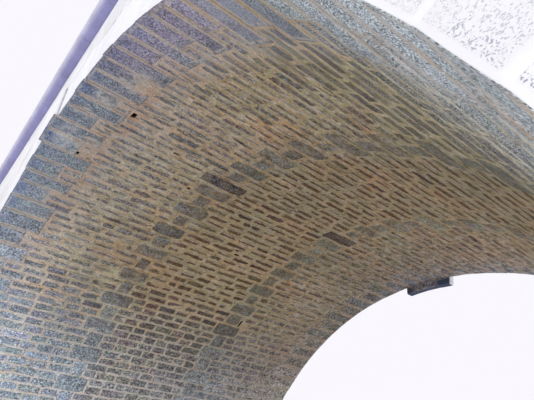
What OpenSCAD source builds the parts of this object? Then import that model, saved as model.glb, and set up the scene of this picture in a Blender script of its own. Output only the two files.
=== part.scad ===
// Stone arch bridge: one round vault on low plinths, with dressed face rings, two bond bands of
// larger stones across the vault, keystones, spandrel walls, a round-nosed cornice and parapets.
// X runs along the road, Y runs through the passage from the near face to the far face, Z is up.
// The origin is on the ground in the middle of the bridge. Angles are measured from the crown of
// the arch, and are positive towards +X.

/* [Arch] */
// Inner radius of the round arch
arch_r = 4000; // [3000:50:5000]
// Width of the bridge between its two faces
bridge_w = 5210; // [4700:10:7000]
// Thickness of the vault and depth of its face rings
ring_d = 320; // [200:10:600]
// Height of the plinths that the arch springs from
plinth_h = 350; // [200:10:800]
// How far the plinths stand out from the walls on them
plinth_out = 60; // [20:5:100]

/* [Vault bands] */
// Width of each dressed face ring, measured through the passage
ring_w = 420; // [300:10:600]
// Width of each bond band of larger stones
band_w = 380; // [200:10:500]
// Distance from the near face to the middle of the near bond band
band_near_at = 1690; // [1000:10:2200]
// Distance from the near face to the middle of the far bond band
band_far_at = 3410; // [2900:10:3800]

/* [Keystones] */
// Angle at which the near keystone starts
key_near_from = -8.5; // [-20:0.5:0]
// Angle that the near keystone spans
key_near_span = 6.5; // [3:0.5:12]
// How far the near keystone stands out from the face
key_near_out = 40; // [20:5:110]
// Angle at which the far keystone starts
key_far_from = -6; // [-15:0.1:0]
// Angle that the far keystone spans
key_far_span = 10.2; // [3:0.1:14]
// How far the far keystone stands out from the face
key_far_out = 115; // [40:5:160]
// How far the far keystone hangs below the arch, outside the face
key_drop = 100; // [20:5:160]

/* [Walls] */
// Length of the bridge from end to end
bridge_l = 14400; // [11000:100:20000]
// Thickness of the spandrel walls
spandrel_t = 600; // [500:10:900]
// Thickness of the walls that close the ends
end_wall_t = 500; // [300:10:900]
// Height from the crown of the arch to the underside of the cornice
crown_h = 640; // [620:10:1200]

/* [Cornice and roadway] */
// Height of the round-nosed cornice
cornice_h = 160; // [120:5:240]
// How far the cornice stands out from the face
cornice_out = 115; // [90:5:200]
// Thickness of the roadway between the cornices
deck_h = 120; // [60:5:120]

/* [Parapets] */
// Height of the parapet walls above the cornice
parapet_h = 650; // [400:10:900]
// Thickness of the parapet walls
parapet_t = 400; // [250:10:450]
// How far the parapet walls are set back from the face
parapet_back = 40; // [40:5:50]
// Height of the coping at its ridge
coping_h = 120; // [80:5:200]
// Height of the coping's upright edges
coping_edge_h = 85; // [40:5:110]
// How far the coping stands out from the parapet on each side
coping_out = 40; // [20:5:60]

/* [Hidden] */
$fn = 360;
near_y = -bridge_w / 2;
far_y = bridge_w / 2;
half_l = bridge_l / 2;
springing_z = plinth_h;
extrados_r = arch_r + ring_d;
wall_top_z = springing_z + arch_r + crown_h;
wall_h = wall_top_z - springing_z;
cornice_top_z = wall_top_z + cornice_h;
parapet_top_z = cornice_top_z + parapet_h;
near_ring_end_y = near_y + ring_w;
near_band_start_y = near_y + band_near_at - band_w / 2;
near_band_end_y = near_band_start_y + band_w;
far_band_start_y = near_y + band_far_at - band_w / 2;
far_band_end_y = far_band_start_y + band_w;
far_ring_start_y = far_y - ring_w;
key_near_to = key_near_from + key_near_span;
key_far_to = key_far_from + key_far_span;
springing_left = -90;
springing_right = 90;
crown = 0;
left = -1;
right = 1;
cut = 1000;
face_stone = [0.84, 0.84, 0.85];
vault_stone = [0.47, 0.42, 0.35];
band_stone = [0.40, 0.39, 0.36];
rubble_stone = [0.60, 0.57, 0.52];
violet_stone = [0.66, 0.66, 0.74];
road_gravel = [0.52, 0.50, 0.47];

// A piece of the barrel between two radii, two angles from the crown and two places along Y
module barrel(r_in, r_out, from_y, to_y, from_angle, to_angle) {
    translate([0, 0, springing_z])
        rotate([90, 0, 0])
            rotate([0, 0, 90 - to_angle])
                rotate_extrude(angle = to_angle - from_angle)
                    translate([r_in, -to_y])
                        square([r_out - r_in, to_y - from_y]);
}

// The whole space inside one radius, as a round bar along Y
module round_bar(r, from_y, to_y) {
    translate([0, to_y, springing_z])
        rotate([90, 0, 0])
            cylinder(r = r, h = to_y - from_y);
}

// A vault strip from one springing to the crown
module vault_half(from_y, to_y, side) {
    if (side == left)
        barrel(arch_r, extrados_r, from_y, to_y, springing_left, crown);
    else
        barrel(arch_r, extrados_r, from_y, to_y, crown, springing_right);
}

// A box that starts at the middle of the bridge and runs towards one end
module half_box(side, from_x, to_x, from_y, to_y, from_z, to_z) {
    start_x = side == left ? -to_x : from_x;
    translate([start_x, from_y, from_z])
        cube([to_x - from_x, to_y - from_y, to_z - from_z]);
}

module plinth(side) {
    color(rubble_stone)
        half_box(side, arch_r - plinth_out, half_l + plinth_out,
            near_y - plinth_out, far_y + plinth_out, 0, springing_z);
}

module ring_near_left() {
    color(face_stone)
        barrel(arch_r, extrados_r, near_y, near_ring_end_y, springing_left, key_near_from);
}

module ring_near_right() {
    color(face_stone)
        barrel(arch_r, extrados_r, near_y, near_ring_end_y, key_near_to, springing_right);
}

module keystone_near() {
    color(face_stone)
        barrel(arch_r, extrados_r, near_y - key_near_out, near_ring_end_y,
            key_near_from, key_near_to);
}

module ring_far_left() {
    color(face_stone)
        barrel(arch_r, extrados_r, far_ring_start_y, far_y, springing_left, key_far_from);
}

module ring_far_right() {
    color(face_stone)
        barrel(arch_r, extrados_r, far_ring_start_y, far_y, key_far_to, springing_right);
}

// The part of the far keystone outside the face: a wedge that hangs below the arch and ends
// level under the cornice
module keystone_front() {
    reach = 2 * wall_h;
    difference() {
        intersection() {
            translate([0, far_y + key_far_out, springing_z])
                rotate([90, 0, 0])
                    linear_extrude(height = key_far_out)
                        polygon([
                            [0, 0],
                            [reach * sin(key_far_from), reach * cos(key_far_from)],
                            [reach * sin(key_far_to), reach * cos(key_far_to)]
                        ]);
            translate([-half_l, far_y, springing_z])
                cube([bridge_l, key_far_out, wall_h]);
        }
        round_bar(arch_r - key_drop, far_y - cut, far_y + key_far_out + cut);
    }
}

module keystone_far() {
    color(face_stone)
        union() {
            barrel(arch_r, extrados_r, far_ring_start_y, far_y, key_far_from, key_far_to);
            keystone_front();
        }
}

module vault_near(side) {
    color(vault_stone)
        vault_half(near_ring_end_y, near_band_start_y, side);
}

module vault_middle(side) {
    color(vault_stone)
        vault_half(near_band_end_y, far_band_start_y, side);
}

module vault_far(side) {
    color(vault_stone)
        vault_half(far_band_end_y, far_ring_start_y, side);
}

module band_near(side) {
    color(band_stone)
        vault_half(near_band_start_y, near_band_end_y, side);
}

module band_far(side) {
    color(band_stone)
        vault_half(far_band_start_y, far_band_end_y, side);
}

// The masonry over one half of the arch, between two places along Y and up to one end
module over_arch(side, to_x, from_y, to_y) {
    difference() {
        half_box(side, 0, to_x, from_y, to_y, springing_z, wall_top_z);
        round_bar(extrados_r, from_y - cut, to_y + cut);
    }
}

module spandrel_near(side) {
    color(face_stone)
        over_arch(side, half_l, near_y, near_y + spandrel_t);
}

module spandrel_far(side) {
    color(face_stone)
        over_arch(side, half_l, far_y - spandrel_t, far_y);
}

module backing(side) {
    color(rubble_stone)
        over_arch(side, half_l - end_wall_t, near_y + spandrel_t, far_y - spandrel_t);
}

module end_wall(side) {
    color(face_stone)
        half_box(side, half_l - end_wall_t, half_l,
            near_y + spandrel_t, far_y - spandrel_t, springing_z, wall_top_z);
}

module deck() {
    color(road_gravel)
        translate([-half_l, near_y + spandrel_t, wall_top_z])
            cube([bridge_l, bridge_w - 2 * spandrel_t, deck_h]);
}

// The cornice on the near face: a slab over the whole wall thickness with a half-round nose
module cornice_near() {
    nose_r = cornice_h / 2;
    nose_y = near_y - cornice_out + nose_r;
    color(violet_stone)
        union() {
            translate([-half_l, nose_y, wall_top_z])
                cube([bridge_l, near_y + spandrel_t - nose_y, cornice_h]);
            translate([-half_l, nose_y, wall_top_z + nose_r])
                rotate([0, 90, 0])
                    cylinder(r = nose_r, h = bridge_l);
        }
}

module cornice_far() {
    mirror([0, 1, 0])
        cornice_near();
}

module parapet_near() {
    color(face_stone)
        translate([-half_l, near_y + parapet_back, cornice_top_z])
            cube([bridge_l, parapet_t, parapet_h]);
}

module parapet_far() {
    mirror([0, 1, 0])
        parapet_near();
}

// The coping on the near parapet: upright edges and a top that falls to both sides
module coping_near() {
    coping_w = parapet_t + 2 * coping_out;
    color(violet_stone)
        translate([half_l, near_y + parapet_back - coping_out, parapet_top_z])
            rotate([90, 0, -90])
                linear_extrude(height = bridge_l)
                    polygon([
                        [0, 0],
                        [-coping_w, 0],
                        [-coping_w, coping_edge_h],
                        [-coping_w / 2, coping_h],
                        [0, coping_edge_h]
                    ]);
}

module coping_far() {
    mirror([0, 1, 0])
        coping_near();
}

plinth(left);  // plinth_left
plinth(right);  // plinth_right
ring_near_left();
keystone_near();
ring_near_right();
vault_near(left);  // vault_near_left
vault_near(right);  // vault_near_right
band_near(left);  // band_near_left
band_near(right);  // band_near_right
vault_middle(left);  // vault_middle_left
vault_middle(right);  // vault_middle_right
band_far(left);  // band_far_left
band_far(right);  // band_far_right
vault_far(left);  // vault_far_left
vault_far(right);  // vault_far_right
ring_far_left();
keystone_far();
ring_far_right();
spandrel_near(left);  // spandrel_near_left
spandrel_near(right);  // spandrel_near_right
spandrel_far(left);  // spandrel_far_left
spandrel_far(right);  // spandrel_far_right
end_wall(left);  // end_wall_left
end_wall(right);  // end_wall_right
backing(left);  // backing_left
backing(right);  // backing_right
deck();
cornice_near();
cornice_far();
parapet_near();
parapet_far();
coping_near();
coping_far();
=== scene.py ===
"""Stone arch bridge: the finish of every stone, joint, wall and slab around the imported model."""

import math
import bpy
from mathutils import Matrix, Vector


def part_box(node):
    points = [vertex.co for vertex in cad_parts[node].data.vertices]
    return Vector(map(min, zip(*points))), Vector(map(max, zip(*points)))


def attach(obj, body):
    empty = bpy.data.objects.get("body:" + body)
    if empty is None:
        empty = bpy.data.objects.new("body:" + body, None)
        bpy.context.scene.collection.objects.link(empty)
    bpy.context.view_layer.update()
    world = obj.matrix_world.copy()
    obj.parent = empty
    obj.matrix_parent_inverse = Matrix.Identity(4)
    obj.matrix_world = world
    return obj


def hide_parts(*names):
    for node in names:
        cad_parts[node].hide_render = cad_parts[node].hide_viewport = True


bl_info = {
    "name": "Stone Arch Bridge",
    "version": (1, 0, 0),
    "blender": (4, 5, 0),
    "location": "3D View > Sidebar > Bridge",
    "description": "Lays the stones and the mortar of a stone arch bridge around its packed solids",
    "category": "Add Mesh",
}

from functools import reduce
from typing import NamedTuple

import bpy
import numpy as np
from mathutils import Matrix, Vector

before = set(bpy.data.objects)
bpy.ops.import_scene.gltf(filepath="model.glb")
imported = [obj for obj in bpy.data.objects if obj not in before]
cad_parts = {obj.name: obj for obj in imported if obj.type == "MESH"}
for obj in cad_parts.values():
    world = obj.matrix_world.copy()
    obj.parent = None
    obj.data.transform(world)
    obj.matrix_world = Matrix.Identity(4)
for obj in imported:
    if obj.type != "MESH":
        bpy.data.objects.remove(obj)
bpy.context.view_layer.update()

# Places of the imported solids, in metres

NEAR_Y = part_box("ring_near_left")[0].y
FAR_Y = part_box("ring_far_left")[1].y
SPRING_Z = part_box("plinth_left")[1].z
WALL_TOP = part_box("cornice_near")[0].z
END_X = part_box("end_wall_right")[1].x


def radii(node):
    """Smallest and largest distance of a node's points from the axis of the arch."""
    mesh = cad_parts[node].data
    co = np.empty(len(mesh.vertices) * 3, np.float32)
    mesh.vertices.foreach_get("co", co)
    co = co.reshape(-1, 3)
    far = np.hypot(co[:, 0], co[:, 2] - SPRING_Z)
    return float(far.min()), float(far.max())


ARCH_R, RING_R = radii("ring_near_left")
RING_D = RING_R - ARCH_R
WIDTH = FAR_Y - NEAR_Y

# Courses of the vault, in degrees from the crown, positive towards +X

KEY_FROM, KEY_TO = -1.95, 1.25
LEFT_PITCH, RIGHT_PITCH = 3.26, 3.22
QUARTER = 90.0
THINNEST_COURSE = 1.0

# Stretches of the key stones, in degrees

KEY_NEAR = (-8.5, -2.0)
KEY_FAR = (-6.0, 4.2)

# Stretches of stone along the passage, in arch radii from the near face: long, short

NEAR_RING = (0.118, 0.076)
FAR_RING = (0.125, 0.092)
BAND_NEAR = ((0.370, 0.475), (0.400, 0.450))
BAND_FAR = ((0.810, 0.910), (0.830, 0.885))
BAND_NEAR_KEY = (0.350, 0.490)
BAND_FAR_KEY = (0.790, 0.920)
LAST_REGULAR_LEFT = 7

# Open holes in the soffit: degrees, arch radii from the near face, half height and half length in metres

HOLES = (
    (5.2, 0.1225, 0.044, 0.019),
    (-7.9, 0.078, 0.022, 0.024),
    (1.4, 0.262, 0.013, 0.030),
    (-6.4, 0.303, 0.010, 0.022),
    (-5.1, 0.364, 0.018, 0.018),
    (-33.6, 0.893, 0.058, 0.016),
    (3.4, 0.545, 0.010, 0.055),
    (-16.4, 0.665, 0.014, 0.034),
    (-15.2, 0.652, 0.012, 0.026),
)
HOLE_DEPTH, HOLE_LIP = 0.09, 0.002

# Patches of bare mortar: from and to in degrees, from and to in arch radii

PATCHES = (
    (-8.5, -5.2, 0.064, 0.112),
    (11.0, 14.2, 0.056, 0.112),
    (-24.2, -22.4, 0.315, 0.345),
    (-34.7, -32.4, 0.885, 0.935),
)

# How far joints of the near ring lie off the courses, in degrees, from the key to the left

RING_SHIFTS = (0, 0, 0, 0, 0, 0.69, 0.57, 0.45, 0.35, 0.25)

# Directions in which the grain of the stones is drawn out: over the crown, in the near ring, and on the right
# haunch inside and at the edge

ASLANT = (-0.76, 0.60, 0.25)
CROSSWISE = (-0.96, 0.18, 0.21)
DRESSED = (-0.53, 0.64, 0.56)
DRESSED_RING = (-0.64, 0.38, 0.67)

# Mortar smeared over the near ring: degrees, arch radii from the near face, and its reach in both

RING_SMEARS = (
    (12.4, 0.085, 3.2, 0.05),
    (1.3, 0.035, 1.2, 0.035),
    (6.2, 0.075, 2.4, 0.05),
    (-5.6, 0.085, 3.0, 0.03),
)

# Heights and lengths of the blocks, in metres

TOP_COURSE = 0.12
WALL_COURSE = 0.2825
QUOINS = (0.56, 0.32)
END_BLOCK = 0.52
CROWN_JOINTS = (-0.18, 0.24)
PLINTH_BLOCK = 0.40
PARAPET_BLOCK = 0.62
COPING_SLAB = 0.72

# Where the ring leans over more than this within a course, in metres, it cuts the blocks from below, and they
# start at the ring this far below their top

MOST_LEAN, BELOW_TOP = 0.6, 0.05

# How far stones stand out of a solid, stay inside it, or end short of the back of the ring, in metres

PROUD = 0.006
SKIN = 0.005
RING_BACK = RING_D - 0.004

# The shortest stretch of a row that still takes a stone, in metres, and the thinnest row, in degrees

SHORTEST_ROW = 0.09
SHORTEST_STRETCH = 0.08
THINNEST_ROW = 0.7

# Ruts of the road, in metres: distance from the middle, half width and depth

RUT_Y, RUT_WIDTH, RUT_DEPTH = 0.75, 0.16, 0.012

# Where the photograph was taken: place, and the directions right, up and back, and the lens in millimetres

CAMERA_PLACE = (3.71652, -3.04874, 1.79453)
CAMERA_AXES = (
    (0.62267551, 0.77736931, 0.08928691),
    (0.33763676, -0.36986499, 0.86556415),
    (0.70588712, -0.50881906, -0.49277434),
)
CAMERA_LENS, CAMERA_SENSOR = 32.302, 36

# Studio: the lamp under the vault, the lamp on the near side and what it looks at, the floor, all in metres

LOW_LAMP_PLACE, LOW_LAMP_SIZE = (0, -0.6, 0.05), (7.0, 5.0)
SIDE_LAMP_PLACE, SIDE_LAMP_AIM, SIDE_LAMP_SIZE = (9.0, -14.4, 1.2), (0, 0, 2.6), (8.0, 5.0)
FLOOR_REACH = 60.0

# Stones: shine, and the angle in degrees from which an edge is drawn sharp

STONE_SHEEN = 0.3
SHARP_ANGLE = 38

HALVES = (("left", -1), ("right", 1))
SIDES = (("near", 1), ("far", -1))

SEEDS = {
    "plan": 11,
    "small stones": 23,
    "their shapes": 31,
    "bands": 41,
    "rings": 51,
    "far keystone": 61,
    "walls": 71,
    "plinths": 81,
    "cornices": 91,
    "parapets": 101,
}


def dice(name):
    """The random numbers of one kind of stone."""
    return np.random.default_rng(SEEDS[name])


def tone(red, green, blue):
    """A linear colour from three display values of 0 to 255."""
    shares = np.array([red, green, blue]) / 255
    low = shares / 12.92
    high = ((shares + 0.055) / 1.055) ** 2.4
    return tuple(float(v) for v in np.where(shares <= 0.04045, low, high))


def colour_property(name, description, red, green, blue):
    """A colour that a user can change, given as display values."""
    return bpy.props.FloatVectorProperty(
        name=name,
        description=description,
        subtype="COLOR",
        size=3,
        min=0,
        max=1,
        default=tone(red, green, blue),
    )


def length_property(name, description, default):
    """A length in metres that a user can change."""
    return bpy.props.FloatProperty(
        name=name,
        description=description,
        default=default,
        min=0.0,
        soft_max=1.0,
        precision=4,
        subtype="DISTANCE",
        unit="LENGTH",
    )


def power_property(name, description, default):
    """The power of a lamp that a user can change."""
    return bpy.props.FloatProperty(name=name, description=description, default=default, min=0, unit="POWER")


class BridgeSizes(bpy.types.PropertyGroup):
    """Sizes of stones and joints."""

    small_short: length_property("Shortest small stone", "Length of the shortest vault stones", 0.19)
    small_long: length_property("Longest small stone", "Length of the longest vault stones", 0.36)
    tight_joint: length_property("Tight joint", "Joint between the vault stones at the left haunch", 0.016)
    wide_joint: length_property("Wide joint", "Joint between the vault stones at the crown", 0.028)
    big_joint: length_property("Band joint", "Joint beside the band stones", 0.014)
    ring_joint: length_property("Ring joint", "Open joint between the ring stones, under its mortar", 0.004)
    wall_joint: length_property("Wall joint", "Joint between the blocks of the walls", 0.007)
    wall_short: length_property("Shortest block", "Length of the shortest wall blocks", 0.38)
    wall_long: length_property("Longest block", "Length of the longest wall blocks", 0.68)
    margin: length_property("Drafted margin", "Width of the smooth margin round a face panel", 0.024)
    panel: length_property("Panel height", "How far a pecked panel stands over its margin", 0.004)
    key_proud: length_property("Near key stones", "How far the two key stones stand out", 0.040)
    slab: length_property("Cornice slab", "Length of a cornice slab", 0.56)
    bed_step: length_property("Mortar grid", "Distance of the points of the mortar surface", 0.036)
    bed_wave: length_property("Mortar wave", "How far the mortar surface swells and sinks", 0.003)


class BridgeColours(bpy.types.PropertyGroup):
    """Colours of the stones, the mortar and the road."""

    ochre: colour_property("Ochre mortar", "Mortar over most of the vault", 175, 161, 128)
    rust: colour_property("Rusty mortar", "Warm patches in the mortar", 191, 149, 111)
    lime: colour_property("Lime mortar", "Pale mortar of the haunches and the edges", 214, 211, 210)
    dusk: colour_property("Dusky mortar", "Pinkish mortar towards the far face", 163, 143, 131)
    clay: colour_property("Clay mortar", "Pinkish mortar between the ring stones", 186, 168, 163)
    umber: colour_property("Brown stone", "Vault stones about the crown", 101, 78, 47)
    bark: colour_property("Red brown stone", "Warmer vault stones", 106, 69, 38)
    # Plum is also painted as shade in the gaps where mortar smears end
    plum: colour_property("Plum stone", "Darkest vault stones", 68, 47, 34)
    moss: colour_property("Olive stone", "Olive grey stones", 117, 105, 70)
    sage: colour_property("Sage stone", "Green grey clouds in the bond stones", 118, 122, 110)
    slate: colour_property("Blue stone", "Ring stones and the stones of the haunches", 141, 154, 172)
    teal: colour_property("Teal stone", "Green grey stones and crystals", 132, 150, 150)
    mauve: colour_property("Mauve stone", "Violet grey stones and crystals", 151, 137, 168)
    pewter: colour_property("Pewter stone", "Pale grey stones of the right haunch", 165, 173, 177)
    char: colour_property("Dark stone", "Darkest stones of the haunches", 104, 106, 114)
    # Painted blue shade along the arrises where the soffits meet both faces
    edge_shade: colour_property("Edge stone", "Blue tinge of the rings at both faces", 100, 114, 152)
    face: colour_property("Face stone", "Dressed faces of the rings and walls", 246, 245, 250)
    pit: colour_property("Peck marks", "Small dark marks in the dressed faces", 136, 141, 176)
    joint: colour_property("Face joint", "Joints between the dressed faces", 240, 230, 228)
    stain: colour_property("Lime stain", "Pale lime run over the stones", 196, 192, 160)
    # Painted violet shade on the underside of the cornice
    underside_shade: colour_property("Cornice stone", "Underside of the cornice", 154, 152, 197)
    base: colour_property("Plinth stone", "Plinth blocks", 176, 174, 170)
    gravel: colour_property("Road gravel", "Worn gravel on the road", 168, 162, 152)
    floor: colour_property("Floor", "Studio floor", 236, 236, 238)


class BridgeLight(bpy.types.PropertyGroup):
    """Strength of the studio light."""

    sky: bpy.props.FloatProperty(name="Sky", description="Strength of the white sky", default=1.0, min=0)
    backdrop: colour_property("Backdrop", "Colour behind the bridge", 250, 248, 254)
    fill: power_property("Fill", "Power of the lamp that lies under the vault", 40)
    side: power_property("Side", "Power of the lamp on the near side", 590)


# Surfaces worked out on grids


class Batch(NamedTuple):
    """Points (M, 3), face arrays (K, sides) and values for each point, ready to be joined."""

    points: np.ndarray
    faces: list
    values: dict


class Cut(NamedTuple):
    """How a kind of stone is cut: lengths in metres, and inner as counts of points along it and up it."""

    insets: tuple = (0.005,)
    inner: tuple = (2, 1)
    drops: tuple = (0.016, 0.005)
    corner: float = 0.005
    wander: float = 0.003
    rise: tuple = (0.003, 0.009)
    tilt: float = 0.003
    dome: float = 0.002
    rough: float = 0.001
    taper: float = 0.0
    panel_level: int = 99
    panel: float = 0.0


def ripples(points, wavelength, seed, count=14):
    """Smooth noise from about -1 to 1: the mean of sine waves of nearly one length in random directions."""
    rng = np.random.default_rng(seed)
    direction = rng.normal(size=(count, points.shape[-1]))
    direction /= np.linalg.norm(direction, axis=1, keepdims=True)
    pace = 2 * np.pi / wavelength * rng.uniform(0.6, 1.5, (count, 1))
    phase = rng.uniform(0, 2 * np.pi, count)
    return np.sin(points @ (direction * pace).T + phase).sum(-1) / math.sqrt(count)


def stations(length, insets, inner):
    """Distances along sides (N, a): 0 twice, each inset, evenly spread inner ones, and the same mirrored."""
    length = np.asarray(length, float)[:, None]
    first = np.minimum(np.array((0.0, 0.0) + tuple(insets))[None], 0.42 * length)
    share = (np.arange(inner) + 1) / (inner + 1)
    start = first[:, -1:]
    middle = start + (length - 2 * start) * share[None]
    return np.concatenate([first, middle, length - first[:, ::-1]], 1)


def from_ends(count):
    """How many steps each of count points in a row is from the nearer end."""
    return np.minimum(np.arange(count), np.arange(count)[::-1])


def grid_faces(index):
    """Quads between neighbouring points of a grid of point numbers."""
    quads = (index[:-1, :-1], index[1:, :-1], index[1:, 1:], index[:-1, 1:])
    return np.stack(quads, -1).reshape(-1, 4)


def outline_of(index):
    """Point numbers once round the border of a grid."""
    sides = (index[:-1, 0], index[-1, :-1], index[:0:-1, -1], index[0, :0:-1])
    return np.concatenate(sides)


def repeat_faces(faces, count, stride):
    """The same faces for each of several equal shells."""
    shift = (np.arange(count) * stride)[:, None, None]
    return (np.atleast_2d(faces)[None] + shift).reshape(-1, np.atleast_2d(faces).shape[1])


def random_cuts(rng, start, end, count, least, most):
    """Ends of parts of random length from start to end, each least to most before they are fitted."""
    share = np.cumsum(rng.uniform(least, most, count))
    return start + (end - start) * np.concatenate([[0], share / share[-1]])


def stone_values(rng, count, points_each, **more):
    """One random number of each kind for every stone, repeated at its points."""
    values = {key: np.repeat(rng.random(count), points_each) for key in ("tint", "hue", "film")}
    values.update({key: value.reshape(-1) for key, value in more.items()})
    return values


def lay_stones(rng, place, s0, s1, t0, t1, cut, left=None, low=None):
    """Stones set in a surface. Each is a grid from s0 to s1 along and from t0 to t1 up, or from the curves
    left(t) and low(s) where those lie further in. Its corners are drawn in, its sides wander as sines, its
    top is a tilted dome, and its rim drops below the surface, where one face closes it."""
    s0, s1, t0, t1 = (np.asarray(v, float) for v in (s0, s1, t0, t1))
    count = len(s0)
    along = stations(s1 - s0, cut.insets, cut.inner[0])
    up = stations(t1 - t0, cut.insets, cut.inner[1])
    fs = along / (s1 - s0)[:, None]
    ft = up / (t1 - t0)[:, None]
    a, b = fs.shape[1], ft.shape[1]
    s_from = np.broadcast_to(s0[:, None], (count, b))
    t_from = np.broadcast_to(t0[:, None], (count, a))
    if left:
        s_from = np.maximum(s_from, left(t0[:, None] + up))
    if low:
        t_from = np.maximum(t_from, low(s0[:, None] + along))
    s = s_from[:, None, :] + fs[:, :, None] * (s1[:, None] - s_from)[:, None, :]
    t = t_from[:, :, None] + ft[:, None, :] * (t1[:, None] - t_from)[:, :, None]
    p = (2 * fs - 1)[:, :, None]
    q = (2 * ft - 1)[:, None, :]
    end = np.broadcast_to(np.minimum(along, along[:, ::-1])[:, :, None], (count, a, b))
    side = np.broadcast_to(np.minimum(up, up[:, ::-1])[:, None, :], (count, a, b))

    def per_stone(low_end, high_end):
        return rng.uniform(low_end, high_end, (count, 1, 1))

    corner = cut.corner * per_stone(0.4, 1.5)
    wave = [per_stone(0, 2 * np.pi) for _ in range(4)]
    pace = [per_stone(0.6, 1.7) * np.pi for _ in range(4)]
    reach = [cut.wander * per_stone(0.3, 1.5) for _ in range(4)]
    sway = [r * np.sin(w + k * v) for r, w, k, v in zip(reach, wave, pace, (q, q, p, p))]
    s = s - corner * p * np.abs(q) ** 7 + sway[0] * (1 - p) / 2 + sway[1] * (1 + p) / 2
    t = t - corner * q * np.abs(p) ** 7 + sway[2] * (1 - q) / 2 + sway[3] * (1 + q) / 2
    t = t - cut.taper * q * (1 + p * per_stone(-1, 1)) * per_stone(0, 1)
    level = np.minimum.outer(from_ends(a), from_ends(b))
    h = per_stone(*cut.rise) + cut.tilt * (per_stone(-1, 1) * p + per_stone(-1, 1) * q) / 2
    h = h + cut.dome * per_stone(0, 1.5) * (1 - p * p) * (1 - q * q)
    h = h + cut.rough * ripples(np.stack([s, t], -1), 0.07, int(rng.integers(1 << 30)))
    for step, drop in enumerate(cut.drops):
        h = np.where(level == step, h - drop if step else -cut.drops[0], h)
    panel = (level >= cut.panel_level).astype(float)
    h = h + cut.panel * panel
    points = place(s, t, h).reshape(-1, 3)
    index = np.arange(a * b).reshape(a, b)
    faces = [
        repeat_faces(grid_faces(index), count, a * b),
        repeat_faces(outline_of(index)[::-1], count, a * b),
    ]
    panel = np.broadcast_to(panel, end.shape)
    values = stone_values(rng, count, a * b, end=end, side=side, panel=panel, front=np.ones_like(end))
    return Batch(points, faces, values)


class Block(NamedTuple):
    """How a kind of whole block is cut; three insets and inner counts, one for each direction."""

    insets: tuple
    inner: tuple
    bevel: float = 0.006
    rough: float = 0.0012
    panels: tuple = ()
    panel_level: int = 3
    panel: float = 0.004
    flare: float = 0.0


def lay_blocks(rng, place, low, high, block):
    """Whole blocks from corner low to corner high (N, 3). Each is the skin of a box grid whose edges are
    pulled in to a round arris, with panels raised on the sides listed as (direction, 0 or -1)."""
    low, high = np.asarray(low, float), np.asarray(high, float)
    count = len(low)
    lines = [stations(high[:, k] - low[:, k], block.insets[k], block.inner[k])[:, 1:-1] for k in range(3)]
    shape = tuple(line.shape[1] for line in lines)
    only = [tuple(-1 if k == m else 1 for m in range(3)) for k in range(3)]
    axes = [line.reshape((count,) + only[k]) for k, line in enumerate(lines)]
    levels = np.stack(np.meshgrid(*map(from_ends, shape), indexing="ij"))
    outer = levels == 0
    pull = np.array([0.0, 0.0, 0.29, 0.42])[outer.sum(0)] * block.bevel
    q = []
    for k in range(3):
        size = (high[:, k] - low[:, k]).reshape(-1, 1, 1, 1)
        centred = np.broadcast_to(axes[k], (count,) + shape) - size / 2
        reach = pull - block.flare * (k == 0) * (levels[1] < 2)
        q.append(low[:, k].reshape(-1, 1, 1, 1) + size / 2 + centred - np.sign(centred) * reach * outer[k])
    panel = np.zeros(shape)
    for k, end in block.panels:
        other = [m for m in range(3) if m != k]
        raised = (levels[other[0]] >= block.panel_level) & (levels[other[1]] >= block.panel_level)
        raised = raised & (np.arange(shape[k]) == end % shape[k]).reshape(only[k])
        panel = np.maximum(panel, raised)
        q[k] = q[k] + (-1 if end == 0 else 1) * block.panel * raised
    seed = int(rng.integers(1 << 30))
    jitter = [ripples(np.stack(q, -1), 0.11, seed + k) * block.rough for k in range(3)]
    q = [q[k] + jitter[k] for k in range(3)]
    side, end, _ = [np.minimum(axis, axis[:, ::-1, ::-1, ::-1]) for axis in axes]
    front = np.zeros(shape)
    front[:, 0, :] = 1
    front[[0, -1], 1, :] = 1
    keep = outer.any(0)
    number = np.full(shape, -1)
    number[keep] = np.arange(keep.sum())
    skins = [number[0], number[-1][:, ::-1], number[:, 0][:, ::-1], number[:, -1]]
    skins += [number[:, :, 0], number[:, :, -1][:, ::-1]]
    faces = [repeat_faces(grid_faces(skin), count, int(keep.sum())) for skin in skins]
    points = place(*q)[:, keep].reshape(-1, 3)
    more = {"end": end, "side": side, "panel": panel, "front": front}
    more = {key: np.broadcast_to(value, (count,) + shape)[:, keep] for key, value in more.items()}
    values = stone_values(rng, count, int(keep.sum()), **more)
    return Batch(points, faces, values)


def lay_bed(place, s_lines, t_lines, height, depth):
    """A closed bed: a grid surface height(s, t) over plain sides and a plain back at -depth."""
    s, t = np.meshgrid(s_lines, t_lines, indexing="ij")
    top = place(s, t, height(s, t))
    a, b = s.shape
    index = np.arange(a * b).reshape(a, b)
    ring = outline_of(index)
    back_number = np.full(a * b, -1)
    back_number[ring] = a * b + np.arange(len(ring))
    back = place(s, t, np.full_like(s, -depth)).reshape(-1, 3)[ring]
    sides = np.stack([ring, np.roll(ring, -1), back_number[np.roll(ring, -1)], back_number[ring]], -1)
    low, high = back_number[index[0]], back_number[index[-1]]
    strip = np.stack([low[1:-2], low[2:-1], high[2:-1], high[1:-2]], -1)
    first = np.concatenate([back_number[index[:, 0]], [high[1], low[1]]])
    last = np.concatenate([back_number[index[::-1, -1]], [low[-2], high[-2]]])
    faces = [grid_faces(index)[:, ::-1], sides, strip, first[None], last[None]]
    points = np.concatenate([top.reshape(-1, 3), back])
    return Batch(points, faces, {})


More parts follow.
